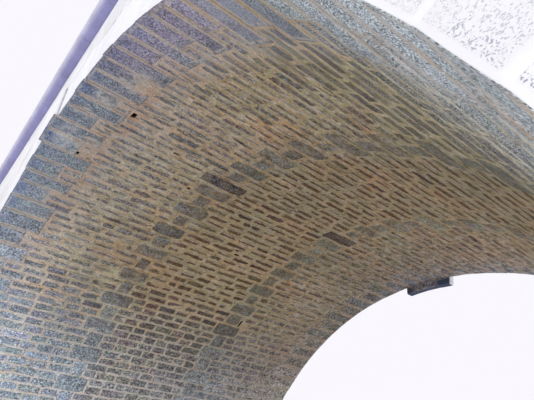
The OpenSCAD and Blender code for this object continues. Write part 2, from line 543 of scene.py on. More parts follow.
def sweep_slabs(rng, place, profile, starts, ends, nose=0.004, rough=0.0015):
    """Slabs with one closed profile (P, 2), each carried along from its start to its end, and drawn in by
    nose at both ends to a soft arris."""
    count, sides = len(starts), len(profile)
    line = stations(ends - starts, (nose, 0.06), 3)[:, 1:-1]
    centre = profile.mean(0)
    m = line.shape[1]
    shrink = np.where(from_ends(m) == 0, nose, 0.0)
    reach = np.linalg.norm(profile - centre, axis=1)
    scale = 1 - shrink[:, None] / reach[None]
    flat = centre + (profile - centre) * scale[..., None]
    flat = np.broadcast_to(flat, (count, m, sides, 2)).copy()
    along = np.broadcast_to((starts[:, None] + line)[:, :, None], (count, m, sides))
    grid = np.stack([along, flat[..., 0], flat[..., 1]], -1)
    shift = rough * ripples(grid, 0.16, int(rng.integers(1 << 30)))
    flat -= ((profile - centre) / reach[:, None]) * np.abs(shift)[..., None]
    points = place(along, flat[..., 0], flat[..., 1]).reshape(-1, 3)
    index = np.arange(m * sides).reshape(m, sides)
    round_index = np.concatenate([index, index[:, :1]], 1)
    stride = m * sides
    faces = [
        repeat_faces(grid_faces(round_index), count, stride),
        repeat_faces(index[0], count, stride),
        repeat_faces(index[-1][::-1], count, stride),
    ]
    values = stone_values(rng, count, stride)
    return Batch(points, faces, values)


def join(batches):
    """One batch from several."""
    start = np.cumsum([0] + [len(batch.points) for batch in batches])
    faces = [face + shift for batch, shift in zip(batches, start) for face in batch.faces]
    values = {key: np.concatenate([batch.values[key] for batch in batches]) for key in batches[0].values}
    return Batch(np.concatenate([batch.points for batch in batches]), faces, values)


def volume_of(points, faces):
    """Signed volume inside closed faces, summed over fans of triangles."""
    total = 0.0
    for face in faces:
        corner = points[face]
        for k in range(1, face.shape[1] - 1):
            total += np.einsum("ij,ij->i", corner[:, 0], np.cross(corner[:, k], corner[:, k + 1])).sum()
    return total / 6


def make_piece(name, batch, material, replaced=()):
    """A mesh piece from a batch, turned so that its faces point outwards, riding on the root."""
    points, faces, values = batch
    if volume_of(points, faces) < 0:
        faces = [face[:, ::-1] for face in faces]
    corners = np.concatenate([face.reshape(-1) for face in faces])
    sizes = np.concatenate([np.full(len(face), face.shape[1]) for face in faces])
    mesh = bpy.data.meshes.new(name)
    mesh.vertices.add(len(points))
    mesh.vertices.foreach_set("co", points.astype(np.float32).reshape(-1))
    mesh.loops.add(len(corners))
    mesh.loops.foreach_set("vertex_index", corners.astype(np.int32))
    mesh.polygons.add(len(sizes))
    mesh.polygons.foreach_set("loop_start", (np.cumsum(sizes) - sizes).astype(np.int32))
    mesh.polygons.foreach_set("use_smooth", np.ones(len(sizes), bool))
    mesh.update(calc_edges=True)
    mesh.validate()
    mesh.set_sharp_from_angle(angle=math.radians(SHARP_ANGLE))
    for key, value in values.items():
        mesh.attributes.new(key, "FLOAT", "POINT").data.foreach_set("value", value.astype(np.float32))
    mesh.materials.append(material)
    piece = bpy.data.objects.new(name, mesh)
    bpy.context.scene.collection.objects.link(piece)
    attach(piece, "root")
    if replaced:
        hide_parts(*replaced)


# Places on the bridge


def on_vault(s, t, h):
    """The soffit: s along the passage from the near face, t round the arch from the crown, h inwards."""
    angle = t / ARCH_R
    r = ARCH_R - h
    return np.stack([r * np.sin(angle), NEAR_Y + s, SPRING_Z + r * np.cos(angle)], -1)


def ease(value, low, high):
    """A smooth step from 0 at low to 1 at high."""
    value = np.clip((value - low) / (high - low), 0, 1)
    return value * value * (3 - 2 * value)


def lean(angle, y):
    """Right of the crown the courses fall back towards the far face: how far, as an angle."""
    degrees, share = np.degrees(angle), (y - NEAR_Y) / ARCH_R
    most = 0.55 * ease(share, 0.2, 0.45) + 0.6 * ease(share, 0.45, 0.86) + 0.5 * ease(share, 0.9, 1.25)
    there = ease(degrees, 0, 11) * (1 - 0.35 * ease(degrees, 17, 26)) * (1 - ease(degrees, 60, 88))
    return -np.radians(most * there)


def on_courses(s, t, h):
    """The soffit, with t bent along the leaning courses."""
    return on_vault(s, t + ARCH_R * lean(t / ARCH_R, NEAR_Y + s), h)


def in_ring(face, out, leaning=True):
    """A ring seen from its face: t round the arch, b into the wall, r outwards from the soffit."""

    def place(t, b, r):
        y = face - out * b
        angle = t / ARCH_R + (lean(t / ARCH_R, y) if leaning else 0)
        far = ARCH_R + r
        return np.stack([far * np.sin(angle), y, SPRING_Z + far * np.cos(angle)], -1)

    return place


def on_wall(axis, level, out, flip=1):
    """A wall across an axis at a level: s along it, t up, h out of it."""

    def place(s, t, h):
        across = level + out * h
        pair = (across, flip * s) if axis == 0 else (flip * s, across)
        return np.stack([pair[0], pair[1], t], -1)

    return place


def mirrored(flip_x, flip_y):
    """Space itself, turned over in X or Y."""

    def place(x, y, z):
        return np.stack([flip_x * x, flip_y * y, z], -1)

    return place


def arc(degrees):
    """Length round the soffit from the crown."""
    return np.radians(degrees) * ARCH_R


def courses():
    """Every course of the vault as (number, from, to) in degrees, numbered from the key outwards."""
    rows = [(0, KEY_FROM, KEY_TO)]
    for side, start, pitch in ((-1, KEY_FROM, LEFT_PITCH), (1, KEY_TO, RIGHT_PITCH)):
        edges = [start]
        while QUARTER - abs(edges[-1]) > THINNEST_COURSE:
            edges.append(side * min(abs(edges[-1]) + pitch, QUARTER))
        for number, (a, b) in enumerate(zip(edges, edges[1:]), 1):
            rows.append((side * number, min(a, b), max(a, b)))
    return rows


def near_ring_is_long(number):
    """Long and short stones take turns; two long ones meet at the eighth course to the left."""
    if number >= -LAST_REGULAR_LEFT:
        return number % 2 == 1
    return number % 2 == 0


def band_is_long(number):
    """The key stone is long; the turns start with a long stone on the left and a short one on the right."""
    return number % 2 == (1 if number < 0 else 0)


def ring_depth(rng, number, far=False):
    """How far a ring stone reaches in from its face, in metres."""
    pair = FAR_RING if far else NEAR_RING
    long = band_is_long(number) if far else near_ring_is_long(number)
    return pair[0 if long else 1] * ARCH_R + rng.uniform(-0.028, 0.028)


def band_reach(rng, number, far=False):
    """From and to of a band stone, in metres from the near face."""
    if number == 0:
        pair = BAND_FAR_KEY if far else BAND_NEAR_KEY
    else:
        pair = (BAND_FAR if far else BAND_NEAR)[0 if band_is_long(number) else 1]
    return tuple(share * ARCH_R + rng.uniform(-0.015, 0.015) for share in pair)


def plan_vault():
    """For each course, the end of its near ring stone, both ends of its band stones and the start of its far
    ring stone."""
    rng = dice("plan")
    plan = []
    for number, low, high in courses():
        near = ring_depth(rng, number)
        bands = band_reach(rng, number), band_reach(rng, number, far=True)
        far = WIDTH - ring_depth(rng, number, far=True)
        plan.append((number, low, high, near, bands, far))
    return plan


def openness(degrees):
    """How wide and smeared the joints are: 0 at the left haunch, 1 from the crown to the right haunch."""
    rise = np.clip((degrees + 46) / 20, 0, 1)
    fall = np.clip((degrees - 42) / 25, 0, 1)
    return rise * rise * (3 - 2 * rise) * (1 - 0.6 * fall)


def split_row(rng, start, end, sizes, share=1.0):
    """Cuts a row from start to end into stones of random length, as pairs of ends."""
    mean = (sizes.small_short + sizes.small_long) / 2 * share
    if end - start < SHORTEST_ROW:
        return []
    count = max(1, round((end - start) / (mean * rng.uniform(0.9, 1.15))))
    cuts = random_cuts(rng, start, end, count, 0.66, 1.34)
    return list(zip(cuts, cuts[1:]))


def keep_clear(low, high, start, end):
    """The stretches of a row that are free of holes and bare patches."""
    blocked = []
    for angle, place, half_high, half_long in HOLES:
        reach = math.degrees(half_high / ARCH_R)
        if low < angle + reach and high > angle - reach:
            blocked.append((place * ARCH_R - half_long, place * ARCH_R + half_long))
    for a0, a1, p0, p1 in PATCHES:
        if min(high, a1) - max(low, a0) > 0.5 * (high - low):
            blocked.append((p0 * ARCH_R, p1 * ARCH_R))
    free = [(start, end)]
    for b0, b1 in blocked:
        parts = []
        for f0, f1 in free:
            if b1 <= f0 or b0 >= f1:
                parts.append((f0, f1))
            else:
                parts += [(f0, b0), (b1, f1)]
        free = parts
    return [(f0, f1) for f0, f1 in free if f1 - f0 > SHORTEST_STRETCH]


def plan_small_stones(sizes):
    """The small stones of the three strips: for each strip and half, arrays of s0, s1, t0, t1."""
    rng = dice("small stones")
    plan = {(strip, half): [] for strip in range(3) for half in ("left", "right")}
    for number, low, high, near, bands, far in plan_vault():
        half = "left" if number < 0 else "right"
        strips = ((near, bands[0][0]), (bands[0][1], bands[1][0]), (bands[1][1], far))
        for strip, (start, end) in enumerate(strips):
            middle = (low + high) / 2 + rng.uniform(-0.12, 0.12)
            tall = []
            if rng.random() < 0.06 and high - low > 2 and (high < -24 or strip == 0):
                spot = rng.uniform(start + 0.1, end - 0.4)
                tall = [(spot, spot + rng.uniform(0.15, 0.3))]
            for row_low, row_high in ((low, middle), (middle, high)):
                if row_high - row_low < THINNEST_ROW:
                    continue
                wide = float(openness((row_low + row_high) / 2))
                if strip == 0:
                    wide *= 1 - 0.6 * float(ease(row_low, 24, 34))
                joint = sizes.tight_joint + (sizes.wide_joint - sizes.tight_joint) * wide
                if strip == 1 and -50 < row_low < -28:
                    joint *= 0.85
                pieces = []
                for f0, f1 in keep_clear(row_low, row_high, start, end):
                    spans = [(f0, f1)]
                    for c0, c1 in tall:
                        if f0 < c0 and c1 < f1:
                            spans = [(f0, c0), (c1, f1)]
                    for s0, s1 in spans:
                        pieces += split_row(rng, s0, s1, sizes, 0.8 if strip and high < -24 else 1.0)
                for s0, s1 in pieces:
                    head = sizes.tight_joint * rng.uniform(0.8, 1.5 + 0.6 * wide)
                    loss = joint * rng.uniform(0.6, 1.2 + 0.5 * wide, 2) / 2
                    plan[strip, half].append(
                        (s0 + head / 2, s1 - head / 2, arc(row_low) + loss[0], arc(row_high) - loss[1])
                    )
            for c0, c1 in tall:
                if len(keep_clear(low, high, c0, c1)) == 1:
                    edge = sizes.tight_joint / 2
                    plan[strip, half].append((c0 + edge, c1 - edge, arc(low) + edge, arc(high) - edge))
    return {key: np.array(rows).T for key, rows in plan.items()}


# Shader maths


def maths(operation, turned=False):
    """An operator that adds one Math node."""

    def method(self, other):
        first, second = (other, self) if turned else (self, other)
        return self.finish.node("ShaderNodeMath", {"operation": operation}, {0: first, 1: second})

    return method


class Wire:
    """A value or colour in a shader. Its operators add Math nodes, also as 1 - mask."""

    def __init__(self, finish, socket):
        self.finish = finish
        self.socket = socket

    __add__ = __radd__ = maths("ADD")
    __sub__ = maths("SUBTRACT")
    __rsub__ = maths("SUBTRACT", turned=True)
    __mul__ = __rmul__ = maths("MULTIPLY")
    least = maths("MINIMUM")
    most = maths("MAXIMUM")
    power = maths("POWER")
    angle_over = maths("ARCTAN2")

    def unsigned(self):
        """The value without its sign."""
        return self.finish.node("ShaderNodeMath", {"operation": "ABSOLUTE"}, {0: self})

    def step(self, low, high):
        """A smooth step from 0 at low to 1 at high."""
        inputs = {"Value": self, "From Min": low, "From Max": high}
        return self.finish.node("ShaderNodeMapRange", {"interpolation_type": "SMOOTHSTEP"}, inputs)

    def fade(self, low, high):
        """A smooth step from 1 at low to 0 at high."""
        return 1 - self.step(low, high)

    def within(self, low, up, down, high):
        """1 from up to down, falling smoothly to 0 at low and at high."""
        return self.step(low, up) * self.fade(down, high)


class Finish:
    """The nodes of one material, on Object coordinates."""

    def __init__(self, name, roughness):
        self.material = bpy.data.materials.new(name + "_finish")
        self.material.use_nodes = True
        self.tree = self.material.node_tree
        self.shader = self.tree.nodes["Principled BSDF"]
        self.shader.inputs["Roughness"].default_value = roughness
        self.shader.inputs["Specular IOR Level"].default_value = STONE_SHEEN
        self.at = self.node("ShaderNodeTexCoord", out="Object")
        split = self.node("ShaderNodeSeparateXYZ", None, {0: self.at}).socket.node
        self.x, self.y, self.z = (Wire(self, split.outputs[k]) for k in range(3))

    def node(self, kind, settings=None, inputs=None, out=0):
        """Adds a node: its settings first, then the values or links of its sockets. Gives one output."""
        node = self.tree.nodes.new(kind)
        for key, value in (settings or {}).items():
            setattr(node, key, value)
        for key, value in (inputs or {}).items():
            if isinstance(value, Wire):
                self.tree.links.new(value.socket, node.inputs[key])
            else:
                node.inputs[key].default_value = value
        return Wire(self, node.outputs[out])

    def value(self, name):
        """A number kept at each point of the piece."""
        return self.node("ShaderNodeAttribute", {"attribute_name": name}, out="Fac")

    def from_axis(self):
        """Distance from the axis of the arch."""
        rise = self.z - SPRING_Z
        return (self.x * self.x + rise * rise).power(0.5)

    def drawn_out(self, direction, length):
        """Coordinates in which every feature comes out longer along a direction."""
        turn = Vector((0, 1, 0)).rotation_difference(Vector(direction)).to_euler()
        inputs = {"Vector": self.at, "Rotation": tuple(turn), "Scale": (1, length, 1)}
        return self.node("ShaderNodeMapping", {"vector_type": "TEXTURE"}, inputs)

    def noise(self, scale, detail=2.0, stretch=None, shift=0.0, rough=0.5, at=None):
        """Noise from 0 to 1, with features of about 1 / scale metres. They are longer in the directions where
        stretch is small; one number there stands for the way through the passage."""
        at = at or self.at
        if stretch or shift:
            stretch = (1, stretch, 1) if isinstance(stretch, float) else stretch or (1, 1, 1)
            inputs = {"Vector": at, "Location": (shift,) * 3, "Scale": stretch}
            at = self.node("ShaderNodeMapping", None, inputs)
        inputs = {"Vector": at, "Scale": scale, "Detail": detail, "Roughness": rough}
        return self.node("ShaderNodeTexNoise", None, inputs)

    def crystals(self, scale, at=None):
        """Two random numbers from 0 to 1 for each of many small grains."""
        inputs = {"Vector": at or self.at, "Scale": scale}
        colour = self.node("ShaderNodeTexVoronoi", None, inputs, out="Color")
        split = self.node("ShaderNodeSeparateColor", None, {0: colour}).socket.node
        return Wire(self, split.outputs[0]), Wire(self, split.outputs[1])

    def mix(self, share, first, second):
        """A colour between two."""
        inputs = {0: share}
        for key, colour in ((6, first), (7, second)):
            inputs[key] = colour if isinstance(colour, Wire) else (*colour, 1)
        return self.node("ShaderNodeMix", {"data_type": "RGBA", "clamp_factor": True}, inputs, out=2)

    def layers(self, colour, *others):
        """A colour with others laid over it in turn, each as (share, colour)."""
        for share, other in others:
            colour = self.mix(share, colour, other)
        return colour

    def pick(self, value, first, *others):
        """The first colour, or the last one whose threshold the value has passed."""
        steps = [(value.step(edge - 0.02, edge + 0.02), colour) for edge, colour in others]
        return self.layers(first, *steps)

    def scale(self, colour, factor):
        """A colour made lighter or darker."""
        if not isinstance(colour, Wire):
            colour = self.node("ShaderNodeCombineXYZ", None, dict(enumerate(colour)))
        return self.node("ShaderNodeVectorMath", {"operation": "SCALE"}, {0: colour, "Scale": factor})

    def finish(self, colour, height=None, distance=0.004, strength=0.8):
        """Links the colour and the height of a bump, in shares of distance."""
        self.tree.links.new(colour.socket, self.shader.inputs["Base Color"])
        if height is not None:
            inputs = {"Height": height, "Distance": distance, "Strength": strength}
            bump = self.node("ShaderNodeBump", None, inputs)
            self.tree.links.new(bump.socket, self.shader.inputs["Normal"])
        return self.material


class Zones(NamedTuple):
    """Where a point of the vault lies, from 0 to 1 how far it belongs to each stretch, and its grains."""

    degrees: Wire
    share: Wire
    left: Wire
    near: Wire
    rim: Wire
    middle: Wire
    right: Wire
    far: Wire
    olive: Wire
    loose: Wire
    strip: Wire
    lit: Wire
    cloud: Wire
    speck: Wire
    grain: Wire
    crystal: Wire
    lumpy: Wire


def vault_zones(f):
    """Degrees from the crown, arch radii from the near face, the stretches of the vault, and grains that are
    round at the left haunch, drawn out aslant over the crown and long on the dressed right haunch. The strip
    is the greyer one between the near ring and the near band, on the right."""
    degrees = f.x.angle_over(f.z - SPRING_Z) * math.degrees(1)
    share = (f.y - NEAR_Y) * (1 / ARCH_R)
    dressed = degrees.step(30, 46) * share.fade(0.35, 0.7)
    at_edge = share.fade(0.12, 0.18)
    ringed = degrees.step(-26, -20) * at_edge
    aslant = f.drawn_out(ASLANT, 2.1)
    grain, crystal = f.crystals(80.0, aslant)
    speck = f.noise(66.0, shift=2.0, rough=0.75, at=aslant)
    for share_of, scale, at in (
        (ringed, 125.0, f.drawn_out(CROSSWISE, 2.0)),
        (degrees.fade(-43, -39), 70.0, None),
        (dressed, 290.0, f.drawn_out(DRESSED, 4.5)),
        (dressed * at_edge, 330.0, f.drawn_out(DRESSED_RING, 4.5)),
    ):
        other = f.crystals(scale, at)
        grain = grain + (other[0] - grain) * share_of
        crystal = crystal + (other[1] - crystal) * share_of
        speck = speck + (f.noise(scale * 0.8, shift=2.0, rough=0.75, at=at) - speck) * share_of
    lumpy = f.crystals(45.0, aslant)[0]
    lit = (
        1.04
        + 0.28 * degrees.fade(-44, -12) * share.fade(0.42, 0.62)
        - 0.14 * degrees.within(-62, -50, -44, -20) * share.within(0.18, 0.26, 0.32, 0.4)
        - 0.18 * degrees.within(-64, -50, -48, -26) * share.step(0.55, 0.85)
        + 0.09 * degrees.fade(-58, -44) * share.step(0.5, 1.1)
        + 0.16 * degrees.step(2, 20) * share.step(0.75, 1.2)
        + 0.12 * degrees.step(8, 32) * share.fade(0.3, 0.5)
        - 0.06 * degrees.within(30, 36, 43, 49) * share.within(0.1, 0.16, 0.36, 0.5)
        - 0.07 * degrees.step(24, 40) * share.step(0.4, 0.55)
        + 0.12 * degrees.fade(-16, -4) * share.step(1.14, 1.2)
        - 0.34 * degrees.fade(-48, -36) * share.fade(0.10, 0.16)
    )
    tight = (1 - 0.35 * degrees.step(40, 66)) * (1 - 0.5 * degrees.step(28, 38) * share.fade(0.3, 0.42))
    return Zones(
        degrees,
        share,
        left=degrees.fade(-60, -28),
        near=share.fade(-0.1, 0.5),
        rim=share.fade(0.04, 0.2),
        middle=share.within(0.42, 0.52, 0.8, 0.98),
        right=degrees.step(42, 55) * share.fade(0.2, 0.9),
        far=share.step(0.9, 1.3),
        olive=degrees.within(10, 24, 42, 54) * share.step(0.11, 0.18),
        loose=degrees.step(-48, -24) * tight,
        strip=degrees.step(32, 42) * share.within(0.11, 0.16, 0.4, 0.52),
        lit=lit,
        cloud=f.noise(8.0, 3.0, stretch=0.6, shift=11.0),
        speck=speck.step(0.40, 0.60),
        grain=grain,
        crystal=crystal,
        lumpy=lumpy + (0.5 - lumpy) * dressed.most(ringed),
    )


def spot(z, angle, along, reach_angle, reach_along):
    """A soft round stain: 1 at its middle, 0 beyond its reach."""
    a = (z.degrees - angle) * (1 / reach_angle)
    b = (z.share - along) * (1 / reach_along)
    return (a * a + b * b).fade(0.15, 1.0)


def lime_run(f, z, colour, c, amount):
    """Pale lime run over stones and joints left of the crown: green at the band, white at the face."""
    patchy = f.noise(12.0, 4.0, shift=1.0).step(0.34, 0.6) * amount
    at_band, at_face = spot(z, -31.6, 0.360, 4.6, 0.032), spot(z, -5.4, 0.035, 3.8, 0.03)
    return f.layers(colour, (at_band * patchy, c.stain), (at_face * patchy, c.lime))


def mortar_tone(f, z, c):
    """Colour of the vault's mortar: ochre with rusty patches, pale at the haunches and at the near edge, with
    pale ridges and brown hollows drawn out along the courses."""
    patch = f.noise(1.6, 3.0, stretch=0.6)
    drift = f.noise(7.0, 4.0, stretch=0.45, shift=3.0)
    tooth = spot(z, -2.0, 0.112, 34.0, 0.045)
    streak = f.noise(24.0, 3.0, stretch=0.4, shift=13.0, rough=0.6)
    dust = f.noise(65.0, 3.0, shift=7.0, rough=0.7)
    warm = (patch.step(0.44, 0.64) * 0.35 + drift.step(0.48, 0.64) * 0.35 + tooth * 0.45).least(1.0)
    warm = warm * (1 - 0.7 * z.strip) * (1 - 0.3 * z.middle * z.degrees.fade(-20, -6))
    pale = (z.near * 0.55 * (1 - z.olive) + z.rim * 0.2) * (1 - 0.55 * z.degrees.step(20, 34))
    pale = (z.left * 0.95 * (1 - 0.5 * z.far) + pale + z.right * 1.1).least(0.95) * (1 - 0.45 * tooth)
    colour = f.layers(
        c.ochre,
        (warm, c.rust),
        (z.far * (0.55 + 0.3 * z.degrees.step(-10, 12)), c.dusk),
        (pale * (0.85 + 2.0 * (0.5 - drift)), c.lime),
        (streak.step(0.51, 0.64) * (0.33 - 0.18 * z.middle), c.lime),
        (streak.fade(0.36, 0.47) * 0.29 * z.loose, c.umber),
        (z.rim * 0.55 * (1 - 0.6 * z.left) * z.degrees.fade(28, 42), c.clay),
        (z.share.fade(0.03, 0.1) * z.degrees.fade(-14, 2) * 0.3, c.teal),
        (z.strip * 0.3, c.stain),
    )
    colour = lime_run(f, z, colour, c, 0.7)
    light = 0.88 + 0.9 * (dust - 0.5) + 0.5 * (drift - 0.5) + 0.30 * (z.grain - 0.5) + 0.16 * (z.lumpy - 0.5)
    shade = 0.15 * z.degrees.within(-58, -48, -26, -10) * z.share.within(0.2, 0.3, 0.5, 0.6)
    shade = shade + z.share.step(0.78, 0.88) * z.degrees.fade(-8, 6) * (0.10 + 0.08 * z.far)
    shade = shade + 0.11 * z.degrees.step(-18, -8) * z.share.within(0.32, 0.42, 1.12, 1.2)
    return f.scale(colour, light * z.lit * (1 + 0.02 * z.left + 0.03 * z.rim - shade))


def vault_stone_tone(f, z, c, spread=1.0):
    """Colour of the vault's stones: brown at the crown, blue-grey at the haunches and the near ring, clouded
    with green and made of light and dark grains, with the height of their bump. Spread is how far their
    colours lie apart: 1 for small stones, less for large ones, which are plum where their hue is 0."""
    tint, hue = f.value("tint"), f.value("hue")
    green = z.cloud.step(0.44, 0.58)
    warm = f.pick(hue, c.plum, (0.12, c.umber), (0.5, c.bark), (0.82, c.moss))
    warm = f.mix(spread, f.mix(0.5, c.umber, c.moss), warm)
    if spread < 1:
        other = hue.step(0.0, 0.02)
        warm = f.layers(warm, (1 - other, c.plum), ((0.3 + 0.4 * green) * other, c.sage))
    else:
        warm = f.layers(
            warm,
            (green * 0.3 * (1 - 0.7 * z.middle), c.sage),
            (z.middle * 0.3 * z.degrees.step(-42, -24), c.bark),
            (0.2 * z.degrees.fade(-46, -26), c.sage),
        )
    cool = f.pick(hue, c.char, (0.12, c.slate), (0.62, c.teal), (0.76, c.mauve), (0.9, c.moss))
    cool = f.layers(
        f.mix(0.35 * spread, c.slate, cool),
        (green * 0.45, c.teal),
        (z.degrees.step(40, 50) * 0.85, c.pewter),
        (z.degrees.within(4, 18, 30, 42) * z.share.fade(0.05, 0.13) * 0.75, c.mauve),
    )
    blue = z.left * (0.95 - 0.75 * z.far) * (1 - 0.55 * z.middle)
    blue = blue + z.near * (0.8 + 0.15 * z.rim) * (1 - 0.75 * z.olive)
    blue = (blue + z.right * 0.6).least(1.0)
    mixed = 0.46 - 0.33 * z.middle * z.degrees.step(-44, -26) - 0.16 * z.rim
    glint = (z.grain * z.speck).step(0.80, 0.86) * 0.4
    # Painted blue shade along the arrises at both faces
    edge = z.share.fade(0.004, 0.045) * z.degrees.fade(12, 34) * (0.35 + 0.65 * tint)
    edge = edge.most(z.share.step(1.21, 1.29) * z.degrees.step(-24, 6) * 0.7)
    colour = f.layers(
        warm,
        (blue, cool),
        (z.strip * 0.45 * (1 - 0.6 * z.degrees.step(46, 54)), c.sage),
        (0.28 * z.share.step(0.8, 1.05) * z.degrees.fade(-40, -20), c.dusk),
        (z.crystal.step(0.70, 0.76) * mixed * (1 - 0.5 * z.left), c.mauve),
        (z.crystal.fade(0.22, 0.28) * mixed, c.teal),
        (glint * blue * (1 - z.right) * (1 - 0.6 * z.rim), c.lime),
        (edge * (0.5 + 0.5 * z.cloud.step(0.4, 0.6)), c.edge_shade),
    )
    mottle = f.noise(26.0, 3.0, stretch=0.7, shift=19.0, rough=0.6)
    grains = 0.40 * z.speck + 1.10 * z.grain + 0.14 * z.lumpy - 0.82
    coarse = (
        0.5 * z.share.step(0.2, 0.6) * z.degrees.fade(-46, -20)
        + 0.5 * z.far
        + 0.15 * z.rim
        + 0.5 * z.degrees.step(36, 46)
    )
    light = 0.84 + (tint - 0.5) * (0.18 if spread < 0.45 else 0.34) + (z.cloud - 0.5) * 0.5
    light = light * (1 + 0.9 * z.rim * z.degrees.fade(10, 30) * (mottle - 0.5))
    light = light * (0.98 + grains * (1 + coarse) * (1 if spread == 1 else 0.85))
    # Painted light: stones brightened at the left haunch, along the near rim and in other stretches where
    # more light falls
    painted_light = (
        1
        + z.left * (0.25 + 0.45 * z.near)
        + z.rim * (0.22 + 0.18 * z.degrees.step(25, 50))
        + 0.18 * z.degrees.fade(-40, -14) * z.share.within(0.06, 0.14, 0.22, 0.34)
        + 0.16 * z.degrees.step(-24, -8) * z.share.within(0.08, 0.14, 0.31, 0.38)
        + 0.22 * z.degrees.fade(-54, -38) * z.share.step(0.5, 0.62)
        + 0.26 * z.degrees.step(43, 53) * z.share.fade(0.26, 0.5)
        + 0.16 * z.degrees.within(-40, -30, -14, -4) * z.share.fade(0.18, 0.26)
        + z.left * (0.16 * z.middle + 0.27 * z.far)
    )
    colour = f.scale(colour, light * painted_light * z.lit)
    return lime_run(f, z, colour, c, 0.5), z.speck * 0.3 + z.grain * 0.5 + z.lumpy * 0.2


def mortar_cover(f, z, smear):
    """How far mortar covers a stone: its rim, ragged. Then the same with a thin wash inside, the line where
    it ends, and lumps."""
    end, side, film = f.value("end"), f.value("side"), f.value("film")
    ragged = f.noise(30.0, 5.0, stretch=0.5, shift=4.0, rough=0.65)
    lump = f.noise(11.0, 3.0, stretch=0.6, shift=14.0)
    reach = smear * (0.1 + 0.9 * z.loose + 0.5 * z.far) * (0.3 + 1.4 * film)
    rim = end.least(side) + (ragged - 0.5) * (0.016 + 0.03 * z.loose) + (lump - 0.5) * 0.03 * z.loose
    cover = rim.fade(reach * 0.6, reach * 1.2 + 0.003 + 0.008 * z.loose)
    wash = (z.loose * (0.5 - 0.36 * z.middle) + 0.3 * z.far) * lump.step(0.36, 0.62) * (0.3 + 0.7 * film)
    return cover, cover.most(wash), cover * (1 - cover) * 4, lump


def make_vault_stone(name, colours, smear, spread):
    """Rough vault stone, with mortar smeared over its rim by about smear metres. Where that smear ends there
    is in places a pale ridge, lime mortar with a painted highlight, and in others a dark gap, painted shade."""
    f = Finish(name, 0.9)
    z = vault_zones(f)
    stone, relief = vault_stone_tone(f, z, colours, spread)
    if spread < 1:
        stone = f.scale(stone, 1.05 + 0.3 * z.degrees.step(-14, 6) * z.share.step(0.7, 0.8))
    solid, cover, line, lump = mortar_cover(f, z, smear)
    colour = f.layers(
        stone,
        (cover, mortar_tone(f, z, colours)),
        # Painted highlight on the pale lime ridge and painted shade in the dark gap where the smear ends
        (line * lump.step(0.48, 0.56) * 0.4, colours.lime),
        (line * lump.fade(0.42, 0.50) * (0.25 + 0.35 * z.loose), colours.plum),
    )
    return f.finish(colour, relief * (1 - 0.6 * cover) + solid * 0.9, 0.009, 0.9)


def make_vault_mortar(colours):
    """Mortar between the vault stones, with cracks, painted black shade in the holes and pale at both faces.
    """
    f = Finish("vault_mortar", 0.92)
    dark = f.noise(30.0, 3.0, stretch=0.25, shift=9.0).step(0.62, 0.70)
    colour = f.mix(dark * 0.7, mortar_tone(f, vault_zones(f), colours), colours.plum)
    # Painted black shade deep in the holes
    colour = f.scale(colour, 1 - 0.96 * (f.from_axis() - ARCH_R).step(0.006, 0.02))
    colour = f.mix(f.y.unsigned().step(FAR_Y - 0.004, FAR_Y - 0.001), colour, colours.joint)
    return f.finish(colour, f.noise(45.0, 4.0, shift=6.0) - dark, 0.008, 0.9)


def make_ring_stone(colours):
    """Ring stones: pale and pecked on the face, blue-grey on the soffit, with soft joints of mortar that end
    in places in a pale ridge with a painted highlight and in others in a dark gap painted as shade. The far
    keystone gets painted dark blue shade where it hangs out of the face and at its inner sides."""
    f = Finish("ring_stone", 0.88)
    z = vault_zones(f)
    stone, relief = vault_stone_tone(f, z, colours, 0.4)
    face, pits = face_tone(f, colours)
    front = f.value("front").step(0.55, 0.95)
    end, side, film = f.value("end"), f.value("side"), f.value("film")
    ragged = f.noise(20.0, 5.0, stretch=0.4, shift=4.0, rough=0.6)
    rim = end.least(side) + (ragged - 0.5) * (0.013 + 0.02 * z.loose)
    patchy = f.noise(9.0, 3.0, shift=15.0).step(0.34, 0.58)
    smears = reduce(Wire.most, [spot(z, *smear) for smear in RING_SMEARS])
    cover = rim.fade(0.010 + 0.014 * film, 0.025 + 0.020 * film) * end.step(0.0, 0.05)
    cover = cover.most(smears * patchy * 0.9).most(z.far * z.degrees.step(-14, 6) * patchy * 0.5)
    # Painted dark blue shade where the far keystone hangs out of the face and at its inner sides; the sides
    # of the hanging part keep the pale face stone
    hanging = f.y.step(FAR_Y + 0.004, FAR_Y + 0.014)
    inner = z.degrees.fade(-5.0, -3.8).most(z.degrees.step(0.4, 2.0))
    inner = inner * (ARCH_R - f.from_axis()).step(0.014, 0.03) * f.y.step(FAR_Y - 0.05, FAR_Y - 0.02)
    cover = cover * (1 - hanging) * (1 - inner)
    shadow = f.scale(colours.edge_shade, 0.42)
    stone = f.layers(
        stone,
        (inner * 0.8, shadow),
        (
            hanging * (0.85 - 0.25 * patchy * z.degrees.step(-5.2, -3.6)),
            f.mix(end.fade(0.014, 0.032) * 0.55, shadow, colours.edge_shade),
        ),
        (hanging * side.fade(0.006, 0.016), colours.face),
    )
    # Painted highlight on the pale lime ridge and painted shade in the dark gap where the mortar ends
    line = cover * (1 - cover) * 4 * (1 - front)
    colour = f.layers(
        stone,
        (front, face),
        (cover * (1 - front), mortar_tone(f, z, colours)),
        (line * ragged.step(0.46, 0.54) * 0.35, colours.lime),
        (line * ragged.fade(0.42, 0.50) * 0.3, colours.plum),
    )
    return f.finish(colour, relief * (1 - front) + pits * front * 0.3, 0.006)


